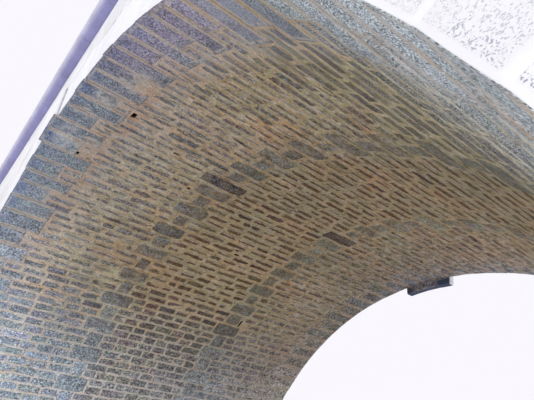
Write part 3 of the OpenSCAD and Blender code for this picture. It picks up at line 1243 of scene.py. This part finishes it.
def face_tone(f, c):
    """Dressed face: pale, faintly blue or pink, with small dark peck marks on its panel. The height for its
    bump comes with it."""
    drift = f.noise(7.0, 3.0, shift=8.0)
    peck = f.noise(400.0, 1.0, stretch=(0.6, 1.0, 0.8), shift=17.0, rough=0.6)
    worn = f.noise(60.0, shift=18.0)
    marks = peck.step(0.565, 0.65) * f.value("panel").step(worn - 0.3, worn + 0.3)
    marks = marks * (0.4 + 0.6 * drift.step(0.36, 0.56)) * (1 - 0.85 * f.z.step(3.2, 4.0))
    shade = f.scale(c.face, 0.95 + 0.05 * f.value("tint") + 0.08 * (drift - 0.5))
    return f.mix(marks * 0.9, shade, c.pit), 1 - marks


def make_face_stone(name, colours, base=None):
    """Pale dressed stone of walls, parapets and plinths."""
    f = Finish(name, 0.85)
    colour, pits = face_tone(f, colours)
    stain = f.noise(1.6, 4.0, stretch=(1.0, 1.0, 0.35), shift=12.0).step(0.52, 0.75)
    colour = f.mix(stain * 0.25, colour, base or colours.base)
    if base:
        colour = f.mix(0.75, colour, base)
    colour = f.scale(colour, 0.92 + 0.08 * f.value("tint"))
    return f.finish(colour, pits * 0.7 + 0.3 * f.noise(70.0, 3.0, shift=5.0))


def make_wall_mortar(colours):
    """Joints between the dressed blocks."""
    f = Finish("wall_mortar", 0.92)
    colour = f.scale(colours.joint, 0.5 + 0.3 * f.noise(3.0, 4.0))
    return f.finish(colour, f.noise(60.0, 4.0), 0.003, 0.7)


def make_cornice_stone(colours):
    """Fine slabs of pale stone, with painted violet shade underneath that gives way towards their nose and
    their top.
    """
    f = Finish("cornice_stone", 0.8)
    grain = f.noise(90.0, 3.0, rough=0.75)
    cloud = f.noise(6.0, 3.0, shift=2.0)
    # The violet is painted shade underneath; the pale face stone takes over at the nose and the top
    nose = f.y.unsigned().step(2.668, 2.734).most(f.z.step(5.05, 5.14))
    colour = f.mix(nose * (0.6 + 0.35 * f.z.step(5.4, 5.7)), colours.underside_shade, colours.face)
    light = (0.9 + 0.1 * f.value("tint") + 0.4 * (cloud - 0.5)) * (0.6 + 0.8 * grain)
    return f.finish(f.scale(colour, light), grain, 0.003, 0.7)


def make_gravel(colours):
    """Worn gravel: rounded pebbles of mixed greys."""
    f = Finish("road_gravel", 0.95)
    cell = f.node("ShaderNodeTexVoronoi", None, {"Vector": f.at, "Scale": 55.0})
    track = f.noise(1.2, 3.0, stretch=(0.3, 1.0, 1.0))
    # Painted shade: darker between the pebbles, lighter at their middles
    light = 0.55 + 0.5 * f.noise(90.0) + 0.4 * (track - 0.5) + 0.35 * (0.5 - cell)
    return f.finish(f.scale(colours.gravel, light), 1 - cell, 0.012, 0.9)


def make_rubble(colours):
    """Rough filling, nearly all hidden."""
    f = Finish("rubble_core", 0.95)
    light = 0.5 + 0.8 * f.noise(12.0, 4.0)
    return f.finish(f.scale(colours.umber, light), f.noise(30.0, 4.0), 0.01)


FINISHES = {}


def finish_named(name, maker, *inputs):
    """The finish of that name, made on first use."""
    if name not in FINISHES:
        FINISHES[name] = maker(*inputs)
    return FINISHES[name]


def paint(nodes, material):
    """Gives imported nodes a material."""
    for name in nodes:
        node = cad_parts[name]
        if not node.material_slots:
            node.data.materials.append(material)
        for place in node.material_slots:
            place.material = material


# Operators


def settings(context):
    """Sizes and colours of the scene."""
    return context.scene.bridge_sizes, context.scene.bridge_colours


class BRIDGE_OT_viewpoint(bpy.types.Operator):
    """Sets the camera under the vault, where the photograph was taken"""

    bl_idname = "bridge.viewpoint"
    bl_label = "Viewpoint"

    def execute(self, context):
        data = bpy.data.cameras.new("viewpoint")
        data.lens, data.sensor_width = CAMERA_LENS, CAMERA_SENSOR
        camera = bpy.data.objects.new("viewpoint", data)
        context.scene.collection.objects.link(camera)
        turn = Matrix(CAMERA_AXES).transposed().to_4x4()
        camera.matrix_world = Matrix.Translation(CAMERA_PLACE) @ turn
        context.scene.camera = camera
        return {"FINISHED"}


class BRIDGE_OT_stage(bpy.types.Operator):
    """Sets the pale floor, the white sky, the lamp under the vault and the lamp on the near side"""

    bl_idname = "bridge.stage"
    bl_label = "Stage"

    def execute(self, context):
        light, colours = context.scene.bridge_light, context.scene.bridge_colours
        mesh = bpy.data.meshes.new("floor")
        corners = [(x * FLOOR_REACH, y * FLOOR_REACH, 0) for x, y in ((-1, -1), (1, -1), (1, 1), (-1, 1))]
        mesh.from_pydata(corners, [], [(0, 1, 2, 3)])
        floor = bpy.data.objects.new("floor", mesh)
        context.scene.collection.objects.link(floor)
        f = Finish("floor", 0.9)
        mesh.materials.append(f.finish(f.scale(colours.floor, 0.98 + 0.02 * f.noise(0.5))))
        world = bpy.data.worlds.new("sky")
        context.scene.world = world
        world.use_nodes = True
        nodes, links = world.node_tree.nodes, world.node_tree.links
        nodes.clear()
        path = nodes.new("ShaderNodeLightPath").outputs
        straight, either = nodes.new("ShaderNodeMath"), nodes.new("ShaderNodeMath")
        straight.operation = either.operation = "MAXIMUM"
        mix, output = nodes.new("ShaderNodeMixShader"), nodes.new("ShaderNodeOutputWorld")
        for source, target in (
            (path["Is Camera Ray"], straight.inputs[0]),
            (path["Is Glossy Ray"], straight.inputs[1]),
            (straight.outputs[0], either.inputs[0]),
            (path["Is Transmission Ray"], either.inputs[1]),
            (either.outputs[0], mix.inputs[0]),
            (mix.outputs[0], output.inputs["Surface"]),
        ):
            links.new(source, target)
        for slot, colour, strength in ((1, (1, 1, 1, 1), light.sky), (2, (*light.backdrop, 1), 1)):
            background = nodes.new("ShaderNodeBackground")
            background.inputs["Color"].default_value = colour
            background.inputs["Strength"].default_value = strength
            links.new(background.outputs[0], mix.inputs[slot])
        low_lamp = Matrix.Translation(LOW_LAMP_PLACE) @ Matrix.Rotation(math.pi, 4, "X")
        stand = Vector(SIDE_LAMP_PLACE)
        aim = (Vector(SIDE_LAMP_AIM) - stand).to_track_quat("-Z", "Y").to_matrix().to_4x4()
        for name, size, power, place in (
            ("vault_fill", LOW_LAMP_SIZE, light.fill, low_lamp),
            ("near_side", SIDE_LAMP_SIZE, light.side, Matrix.Translation(stand) @ aim),
        ):
            lamp = bpy.data.lights.new(name, "AREA")
            lamp.shape = "RECTANGLE"
            lamp.size, lamp.size_y = size
            lamp.energy = power
            holder = bpy.data.objects.new(name, lamp)
            holder.matrix_world = place
            holder.visible_camera = False
            context.scene.collection.objects.link(holder)
        context.scene.view_settings.view_transform = "Standard"
        return {"FINISHED"}


class BRIDGE_OT_mortar_beds(bpy.types.Operator):
    """Lays the mortar of the vault, the bands and the rings, with its open holes"""

    bl_idname = "bridge.mortar_beds"
    bl_label = "Mortar beds"

    strips = (
        ("ring_near", "ring_stone"),
        ("vault_near", "vault_stone"),
        ("band_near", "band_stone"),
        ("vault_middle", "vault_stone"),
        ("band_far", "band_stone"),
        ("vault_far", "vault_stone"),
        ("ring_far", "ring_stone"),
    )

    def lines(self, start, end, step, holes):
        """Even lines from start to end, with crowded ones at both lips of each hole (middle, half size)."""
        even = np.linspace(start, end, max(2, round((end - start) / step)) + 1)
        lips = [c + side * (h + d) for c, h in holes for side in (-1, 1) for d in (-HOLE_LIP, HOLE_LIP)]
        inside = [v for v in lips if start + 2 * HOLE_LIP < v < end - 2 * HOLE_LIP]
        return np.unique(np.round(np.concatenate([even, inside]), 5))

    def execute(self, context):
        sizes, colours = settings(context)
        mortar = finish_named("vault_mortar", make_vault_mortar, colours)
        at = [(share * ARCH_R, float(arc(angle)), ht, hs) for angle, share, ht, hs in HOLES]

        def height(s, t):
            wave = ripples(np.stack([s, t], -1), 0.35, 5) + 0.6 * ripples(np.stack([s, t], -1), 0.12, 6)
            h = sizes.bed_wave * 0.6 * wave
            for cs, ct, half_t, half_s in at:
                h = np.where((np.abs(s - cs) < half_s) & (np.abs(t - ct) < half_t), -HOLE_DEPTH, h)
            return h

        along = [(cs, half_s) for cs, _, _, half_s in at]
        around = [(ct, half_t) for _, ct, half_t, _ in at]
        for name, slot in self.strips:
            for half, t0, t1 in (("left", -QUARTER, 0.0), ("right", 0.0, QUARTER)):
                node = f"{name}_{half}"
                low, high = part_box(node)
                s_lines = self.lines(low.y - NEAR_Y, high.y - NEAR_Y, sizes.bed_step, along)
                t_lines = self.lines(float(arc(t0)), float(arc(t1)), sizes.bed_step, around)
                bed = lay_bed(on_vault, s_lines, t_lines, height, RING_D)
                make_piece(f"mortar_{node}", bed, mortar, (node,))
        return {"FINISHED"}


class BRIDGE_OT_small_stones(bpy.types.Operator):
    """Lays the small coursed stones of the vault"""

    bl_idname = "bridge.small_stones"
    bl_label = "Small stones"

    def execute(self, context):
        sizes, colours = settings(context)
        rng = dice("their shapes")
        stone = finish_named("vault_stone", make_vault_stone, "vault_stone", colours, 0.011, 1.0)
        cut = Cut(corner=0.004, taper=0.006, wander=0.0045, rise=(0.001, 0.006))
        for (strip, half), (s0, s1, t0, t1) in plan_small_stones(sizes).items():
            batch = lay_stones(rng, on_courses, s0, s1, t0, t1, cut)
            make_piece(f"stones_{('near', 'middle', 'far')[strip]}_{half}", batch, stone)
        return {"FINISHED"}


class BRIDGE_OT_bond_bands(bpy.types.Operator):
    """Lays the two bands of bigger bond stones"""

    bl_idname = "bridge.bond_bands"
    bl_label = "Bond bands"

    def execute(self, context):
        sizes, colours = settings(context)
        rng = dice("bands")
        stone = finish_named("band_stone", make_vault_stone, "band_stone", colours, 0.006, 0.5)
        cut = Cut(
            insets=(0.008,), inner=(4, 3), corner=0.008, wander=0.004, rise=(0.004, 0.009), rough=0.0015
        )
        for band, far in (("near", 0), ("far", 1)):
            for half in ("left", "right"):
                plan = [row for row in plan_vault() if (row[0] < 0) == (half == "left")]
                rows = []
                for _, low, high, _, bands, _ in plan:
                    edge = (sizes.big_joint + 0.014 * openness((low + high) / 2)) / 2
                    start, end = bands[far]
                    rows.append((start + edge, end - edge, arc(low) + edge, arc(high) - edge))
                batch = lay_stones(rng, on_courses, *np.array(rows).T, cut)
                keys = [row[0] == 0 for row in plan]
                for key in ("tint", "hue"):
                    batch.values[key].reshape(len(rows), -1)[keys] = 0.0
                make_piece(f"bond_stones_{band}_{half}", batch, stone)
        return {"FINISHED"}


class BRIDGE_OT_rings(bpy.types.Operator):
    """Lays the dressed rings of both faces and the two proud key stones of the near face"""

    bl_idname = "bridge.rings"
    bl_label = "Face rings"

    def execute(self, context):
        sizes, colours = settings(context)
        rng = dice("rings")
        stone = finish_named("ring_stone", make_ring_stone, colours)
        margin = (0.005, sizes.margin / 2, sizes.margin / 2 + 0.006)
        block = Block(
            insets=(margin, (0.006,), margin),
            inner=(1, 5, 1),
            panels=((1, 0),),
            panel=sizes.panel,
            flare=0.0055,
        )
        edge = sizes.ring_joint / 2
        rows = {(side, half): [] for side in ("near", "far") for half in ("left", "right")}
        keys = []
        for number, low, high, near, _, far in plan_vault():
            half = "left" if number < 0 else "right"
            t0, t1 = arc(low) + edge, arc(high) - edge
            shifts = [RING_SHIFTS[k] if 0 <= k < len(RING_SHIFTS) else 0 for k in (-number, -number - 1)]
            n0, n1 = t0 + arc(shifts[0]), t1 + arc(shifts[1])
            rise = rng.uniform(0.004, 0.008, 2)
            proud = PROUD + rng.uniform(-0.003, 0.007, 2)
            if KEY_NEAR[0] < (low + high) / 2 < KEY_NEAR[1]:
                keys.append(((t0, -sizes.key_proud, -rise[0]), (t1, near - edge, RING_BACK)))
            else:
                rows["near", half].append(((n0, -proud[0], -rise[0]), (n1, near - edge, RING_BACK)))
            if not (KEY_FAR[0] < (low + high) / 2 < KEY_FAR[1]):
                rows["far", half].append(((t0, -proud[1], -rise[1]), (t1, WIDTH - far - edge, RING_BACK)))
        for (side, half), boxes in rows.items():
            place = in_ring(NEAR_Y, -1) if side == "near" else in_ring(FAR_Y, 1)
            low, high = np.array(boxes).transpose(1, 0, 2)
            batch = lay_blocks(rng, place, low, high, block)
            make_piece(f"ring_stones_{side}_{half}", batch, stone)
        low, high = np.array(keys).transpose(1, 0, 2)
        batch = lay_blocks(rng, in_ring(NEAR_Y, -1), low, high, block)
        make_piece("key_stones_near", batch, stone, ("keystone_near",))
        return {"FINISHED"}


class BRIDGE_OT_far_keystone(bpy.types.Operator):
    """Shapes the keystone that stands out and hangs down at the far face"""

    bl_idname = "bridge.far_keystone"
    bl_label = "Far keystone"

    def execute(self, context):
        sizes, colours = settings(context)
        rng = dice("far keystone")
        stone = finish_named("ring_stone", make_ring_stone, colours)
        low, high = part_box("keystone_far")
        out = high.y - FAR_Y
        drop = ARCH_R - radii("keystone_far")[0]
        block = Block(insets=((0.012, 0.03),) * 3, inner=(6, 5, 6), bevel=0.022, rough=0.003)
        t0, t1 = arc(KEY_FAR[0]), arc(KEY_FAR[1])
        top = high.z - SPRING_Z - ARCH_R
        place = in_ring(FAR_Y, 1, leaning=False)

        def level_top(t, b, r):
            reach = (high.z - SPRING_Z) / np.cos(t / ARCH_R) - ARCH_R
            return place(t, b, np.where(r > 0, r * reach / top, r))

        head = lay_blocks(rng, level_top, [(t0, -out + 0.005, -drop)], [(t1, 0.0, top - 0.003)], block)
        edge = sizes.ring_joint / 2
        inward = [row for row in plan_vault() if KEY_FAR[0] < (row[1] + row[2]) / 2 < KEY_FAR[1]]
        starts = [(arc(row[1]) + edge, -0.02, -0.008) for row in inward]
        ends = [(min(arc(row[2]), t1) - edge, WIDTH - row[5] - edge, RING_BACK) for row in inward]
        tails = lay_blocks(rng, in_ring(FAR_Y, 1), starts, ends, block)
        make_piece("key_stone_far", join([head, tails]), stone, ("keystone_far",))
        return {"FINISHED"}


def wall_courses():
    """Bed joints of the walls, from the plinth up to the cornice: a low course on top, equal ones below."""
    under = WALL_TOP - TOP_COURSE
    count = round((under - SPRING_Z) / WALL_COURSE)
    return np.append(np.linspace(SPRING_Z, under, count + 1), WALL_TOP)


def beside_ring(reach, offset):
    """How far a circle of that reach comes out sideways, at an offset from its middle."""
    return np.sqrt(np.maximum(reach**2 - offset**2, 0))


def plan_wall(rng, sizes, flip):
    """Blocks of half a side wall, from the ring to the quoins, as rows of s0, s1, t0, t1: first those that
    the ring cuts at the side, then those that it cuts from below."""
    gap = sizes.wall_joint
    reach = RING_R + gap
    beside, over = [], []
    levels = wall_courses()
    for course, (z0, z1) in enumerate(zip(levels, levels[1:])):
        low, high = z0 - SPRING_Z, z1 - SPRING_Z
        end = END_X - QUOINS[course % 2] - gap / 2
        inner = [beside_ring(reach, v) for v in (low, high)]
        under = high > RING_R or inner[0] - inner[1] >= MOST_LEAN
        if high > RING_R:
            start = flip * CROWN_JOINTS[course % 2]
        else:
            start = beside_ring(reach, high - BELOW_TOP) if under else inner[1]
        mean = (sizes.wall_short + sizes.wall_long) / 2
        first = start if under else inner[0]
        count = max(1, round((end - first) / mean))
        cuts = random_cuts(rng, first, end, count, 0.75, 1.25)
        cuts[0] = start
        for s0, s1 in zip(cuts, cuts[1:]):
            row = (s0 + gap / 2, s1 - gap / 2, z0 + gap / 2, z1 - gap / 2)
            (over if under else beside).append(row)
    return beside, over


def panelled_block(sizes, inner, panels):
    """A dressed block with a smooth margin round each of its pecked panels."""
    margin = (0.005, sizes.margin, sizes.margin + 0.006)
    return Block((margin,) * 3, inner, bevel=0.005, rough=0.0008, panels=panels, panel=sizes.panel)


class BRIDGE_OT_walls(bpy.types.Operator):
    """Lays the dressed blocks of the side walls, the end walls and their corners"""

    bl_idname = "bridge.walls"
    bl_label = "Walls"

    def execute(self, context):
        sizes, colours = settings(context)
        rng = dice("walls")
        stone = finish_named("face_stone", make_face_stone, "face_stone", colours)
        mortar = finish_named("wall_mortar", make_wall_mortar, colours)
        walls = [f"spandrel_{side}_{half}" for side in ("near", "far") for half in ("left", "right")]
        paint(walls + ["end_wall_left", "end_wall_right"], mortar)
        paint(["backing_left", "backing_right"], finish_named("rubble_core", make_rubble, colours))
        cut = Cut(
            insets=(0.004, sizes.margin, sizes.margin + 0.006),
            inner=(2, 1),
            drops=(0.012, 0.004),
            corner=0.002,
            wander=0.001,
            rise=(PROUD - 0.002, PROUD + 0.002),
            tilt=0.001,
            dome=0.0,
            rough=0.0006,
            panel_level=4,
            panel=sizes.panel,
        )
        levels = wall_courses()
        reach = RING_R + sizes.wall_joint

        def inner_edge(t):
            return beside_ring(reach, t - SPRING_Z)

        def ring_top(s):
            return SPRING_Z + beside_ring(reach, s)

        for side, level, out in (("near", NEAR_Y, -1), ("far", FAR_Y, 1)):
            for half, flip in HALVES:
                beside, over = plan_wall(rng, sizes, flip)
                place = on_wall(1, level, out, flip)
                batches = [
                    lay_stones(rng, place, *np.array(beside).T, cut, left=inner_edge),
                    lay_stones(rng, place, *np.array(over).T, cut, low=ring_top),
                ]
                make_piece(f"blocks_{side}_{half}", join(batches), stone)
        gap = sizes.wall_joint / 2
        for half, flip in HALVES:
            rows = []
            for course, (z0, z1) in enumerate(zip(levels, levels[1:])):
                corner = QUOINS[1 - course % 2]
                start, end = -FAR_Y + corner, FAR_Y - corner
                cuts = random_cuts(rng, start, end, round((end - start) / END_BLOCK), 0.75, 1.25)
                rows += [(a + gap, b - gap, z0 + gap, z1 - gap) for a, b in zip(cuts, cuts[1:])]
            batch = lay_stones(rng, on_wall(0, flip * END_X, flip), *np.array(rows).T, cut)
            make_piece(f"blocks_end_{half}", batch, stone)
        block = panelled_block(sizes, (2, 2, 1), ((0, -1), (1, 0)))
        for side, flip_y in SIDES:
            for half, flip_x in HALVES:
                lows, highs = [], []
                for course, (z0, z1) in enumerate(zip(levels, levels[1:])):
                    lows.append((END_X - QUOINS[course % 2] + gap, -FAR_Y - PROUD, z0 + gap))
                    highs.append((END_X + PROUD, -FAR_Y + QUOINS[1 - course % 2] - gap, z1 - gap))
                batch = lay_blocks(rng, mirrored(flip_x, flip_y), lows, highs, block)
                make_piece(f"quoins_{side}_{half}", batch, stone)
        return {"FINISHED"}


class BRIDGE_OT_plinths(bpy.types.Operator):
    """Lays the plinth blocks that the arch and the walls stand on"""

    bl_idname = "bridge.plinths"
    bl_label = "Plinths"

    def execute(self, context):
        sizes, colours = settings(context)
        rng = dice("plinths")
        stone = finish_named("plinth_stone", make_face_stone, "plinth_stone", colours, colours.base)
        block = Block(insets=((0.008, 0.03),) * 3, inner=(3, 3, 2), bevel=0.009, rough=0.002)
        gap = sizes.wall_joint / 2
        low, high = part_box("plinth_right")
        low, high = low + Vector((SKIN, SKIN, SKIN)), high - Vector((SKIN, SKIN, 0))
        x_cuts = np.linspace(low.x, high.x, 5)
        y_cuts = np.linspace(low.y, high.y, 8)
        depth = PLINTH_BLOCK
        inset = 0.012
        for half, flip in HALVES:
            lows, highs = [], []
            for a, b in zip(x_cuts, x_cuts[1:]):
                for y0, y1 in ((low.y, low.y + depth), (high.y - depth, high.y)):
                    lows.append((a + gap * (a > low.x), y0, low.z))
                    highs.append((b - gap * (b < high.x), y1, high.z))
            for a, b in zip(y_cuts, y_cuts[1:]):
                a, b = max(a, low.y + depth) + gap, min(b, high.y - depth) - gap
                if b - a < 0.1:
                    continue
                for x0, x1 in ((low.x, low.x + depth), (high.x - depth, high.x)):
                    lows.append((x0, a, low.z))
                    highs.append((x1, b, high.z))
            place = mirrored(flip, 1)
            batch = lay_blocks(rng, place, lows, highs, block)
            core_low = (low.x + inset, low.y + inset, low.z)
            core_high = (high.x - inset, high.y - inset, high.z - inset)
            core = lay_blocks(rng, place, [core_low], [core_high], block)
            both = join([batch, core])
            make_piece(f"plinth_blocks_{half}", both, stone, (f"plinth_{half}",))
        return {"FINISHED"}


class BRIDGE_OT_cornices(bpy.types.Operator):
    """Lays the round-nosed cornice slabs and the coping slabs"""

    bl_idname = "bridge.cornices"
    bl_label = "Cornices and copings"

    def execute(self, context):
        sizes, colours = settings(context)
        rng = dice("cornices")
        stone = finish_named("cornice_stone", make_cornice_stone, colours)
        low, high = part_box("cornice_near")
        nose = (high.z - low.z) / 2
        turn = np.linspace(-math.pi / 2, math.pi / 2, 11)
        round_part = np.stack([low.y + nose - nose * np.cos(turn), low.z + nose + nose * np.sin(turn)], -1)
        profile = np.concatenate([round_part, [(high.y, high.z), (high.y, low.z)]])
        for side, flip in SIDES:
            cuts = random_cuts(rng, low.x, high.x, round((high.x - low.x) / sizes.slab), 0.85, 1.2)
            batch = sweep_slabs(rng, mirrored(1, flip), profile, cuts[:-1] + 0.0015, cuts[1:] - 0.0015)
            make_piece(f"cornice_slabs_{side}", batch, stone, (f"cornice_{side}",))
        low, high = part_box("coping_near")
        middle, half = (low.y + high.y) / 2, (high.y - low.y) / 2
        crest = 0.035

        def sloped(flip):
            def place(x, y, z):
                share = (z - low.z) / (high.z - low.z)
                return np.stack([x, flip * y, z - crest * share * np.abs(y - middle) / half], -1)

            return place

        block = Block(insets=((0.006,), (0.006, 0.03), (0.006,)), inner=(6, 5, 2), bevel=0.008, rough=0.0015)
        for side, flip in SIDES:
            cuts = random_cuts(rng, low.x, high.x, round((high.x - low.x) / COPING_SLAB), 0.85, 1.2)
            lows = [(a + 0.003, low.y + 0.001, low.z) for a in cuts[:-1]]
            highs = [(b - 0.003, high.y - 0.001, high.z - SKIN) for b in cuts[1:]]
            batch = lay_blocks(rng, sloped(flip), lows, highs, block)
            make_piece(f"coping_slabs_{side}", batch, stone, (f"coping_{side}",))
        return {"FINISHED"}


class BRIDGE_OT_parapets(bpy.types.Operator):
    """Lays the blocks of both parapets"""

    bl_idname = "bridge.parapets"
    bl_label = "Parapets"

    def execute(self, context):
        sizes, colours = settings(context)
        rng = dice("parapets")
        stone = finish_named("face_stone", make_face_stone, "face_stone", colours)
        paint(["parapet_near", "parapet_far"], finish_named("wall_mortar", make_wall_mortar, colours))
        block = panelled_block(sizes, (2, 1, 1), ((1, 0), (1, -1)))
        gap = sizes.wall_joint / 2
        low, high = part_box("parapet_near")
        levels = np.linspace(low.z, high.z, 3)
        for side, flip in SIDES:
            lows, highs = [], []
            for course, (z0, z1) in enumerate(zip(levels, levels[1:])):
                count = round((high.x - low.x) / PARAPET_BLOCK) + course
                cuts = random_cuts(rng, low.x, high.x, count, 0.8, 1.2)
                for a, b in zip(cuts, cuts[1:]):
                    lows.append((a + gap * (a > low.x) - PROUD * (a == low.x), low.y - PROUD, z0 + gap))
                    highs.append((b - gap * (b < high.x) + PROUD * (b == high.x), high.y + PROUD, z1 - gap))
            batch = lay_blocks(rng, mirrored(1, flip), lows, highs, block)
            make_piece(f"parapet_blocks_{side}", batch, stone)
        return {"FINISHED"}


class BRIDGE_OT_road(bpy.types.Operator):
    """Lays the worn gravel between the cornices"""

    bl_idname = "bridge.road"
    bl_label = "Road"

    def execute(self, context):
        colours = context.scene.bridge_colours
        low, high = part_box("deck")

        def height(x, y):
            rut = np.exp(-(((np.abs(y) - RUT_Y) / RUT_WIDTH) ** 2))
            swell = ripples(np.stack([x, y], -1), 0.9, 3) + 0.5 * ripples(np.stack([x, y], -1), 0.2, 4)
            return -RUT_DEPTH * rut + 0.004 * swell

        x_lines = np.linspace(low.x, high.x, 160)
        y_lines = np.linspace(low.y, high.y, 68)

        def place(x, y, h):
            return np.stack([x, y, high.z + h], -1)

        bed = lay_bed(place, x_lines, y_lines, height, high.z - low.z)
        gravel = finish_named("road_gravel", make_gravel, colours)
        make_piece("road_surface", bed, gravel, ("deck",))
        return {"FINISHED"}


STEPS = (
    BRIDGE_OT_viewpoint,
    BRIDGE_OT_stage,
    BRIDGE_OT_mortar_beds,
    BRIDGE_OT_small_stones,
    BRIDGE_OT_bond_bands,
    BRIDGE_OT_rings,
    BRIDGE_OT_far_keystone,
    BRIDGE_OT_walls,
    BRIDGE_OT_plinths,
    BRIDGE_OT_cornices,
    BRIDGE_OT_parapets,
    BRIDGE_OT_road,
)


class BRIDGE_PT_panel(bpy.types.Panel):
    """Lists the settings and the steps of the bridge"""

    bl_idname = "BRIDGE_PT_panel"
    bl_label = "Stone Arch Bridge"
    bl_space_type = "VIEW_3D"
    bl_region_type = "UI"
    bl_category = "Bridge"

    def draw(self, context):
        scene = context.scene
        for group in (scene.bridge_sizes, scene.bridge_colours, scene.bridge_light):
            box = self.layout.box()
            for name in type(group).__annotations__:
                box.prop(group, name)
        for step in STEPS:
            self.layout.operator(step.bl_idname)


GROUPS = (
    ("bridge_sizes", BridgeSizes),
    ("bridge_colours", BridgeColours),
    ("bridge_light", BridgeLight),
)


def register():
    """Registers every class and the three groups of settings."""
    for _, group in GROUPS:
        bpy.utils.register_class(group)
    for step in STEPS:
        bpy.utils.register_class(step)
    bpy.utils.register_class(BRIDGE_PT_panel)
    for name, group in GROUPS:
        setattr(bpy.types.Scene, name, bpy.props.PointerProperty(type=group))


def unregister():
    """Takes everything out again, in the reverse order."""
    for name, _ in GROUPS:
        delattr(bpy.types.Scene, name)
    bpy.utils.unregister_class(BRIDGE_PT_panel)
    for step in reversed(STEPS):
        bpy.utils.unregister_class(step)
    for _, group in reversed(GROUPS):
        bpy.utils.unregister_class(group)


def main():
    """Builds the whole scene."""
    register()
    bpy.ops.bridge.viewpoint()
    bpy.ops.bridge.stage()
    bpy.ops.bridge.mortar_beds()
    bpy.ops.bridge.small_stones()
    bpy.ops.bridge.bond_bands()
    bpy.ops.bridge.rings()
    bpy.ops.bridge.far_keystone()
    bpy.ops.bridge.walls()
    bpy.ops.bridge.plinths()
    bpy.ops.bridge.cornices()
    bpy.ops.bridge.parapets()
    bpy.ops.bridge.road()


if __name__ == "__main__":
    main()
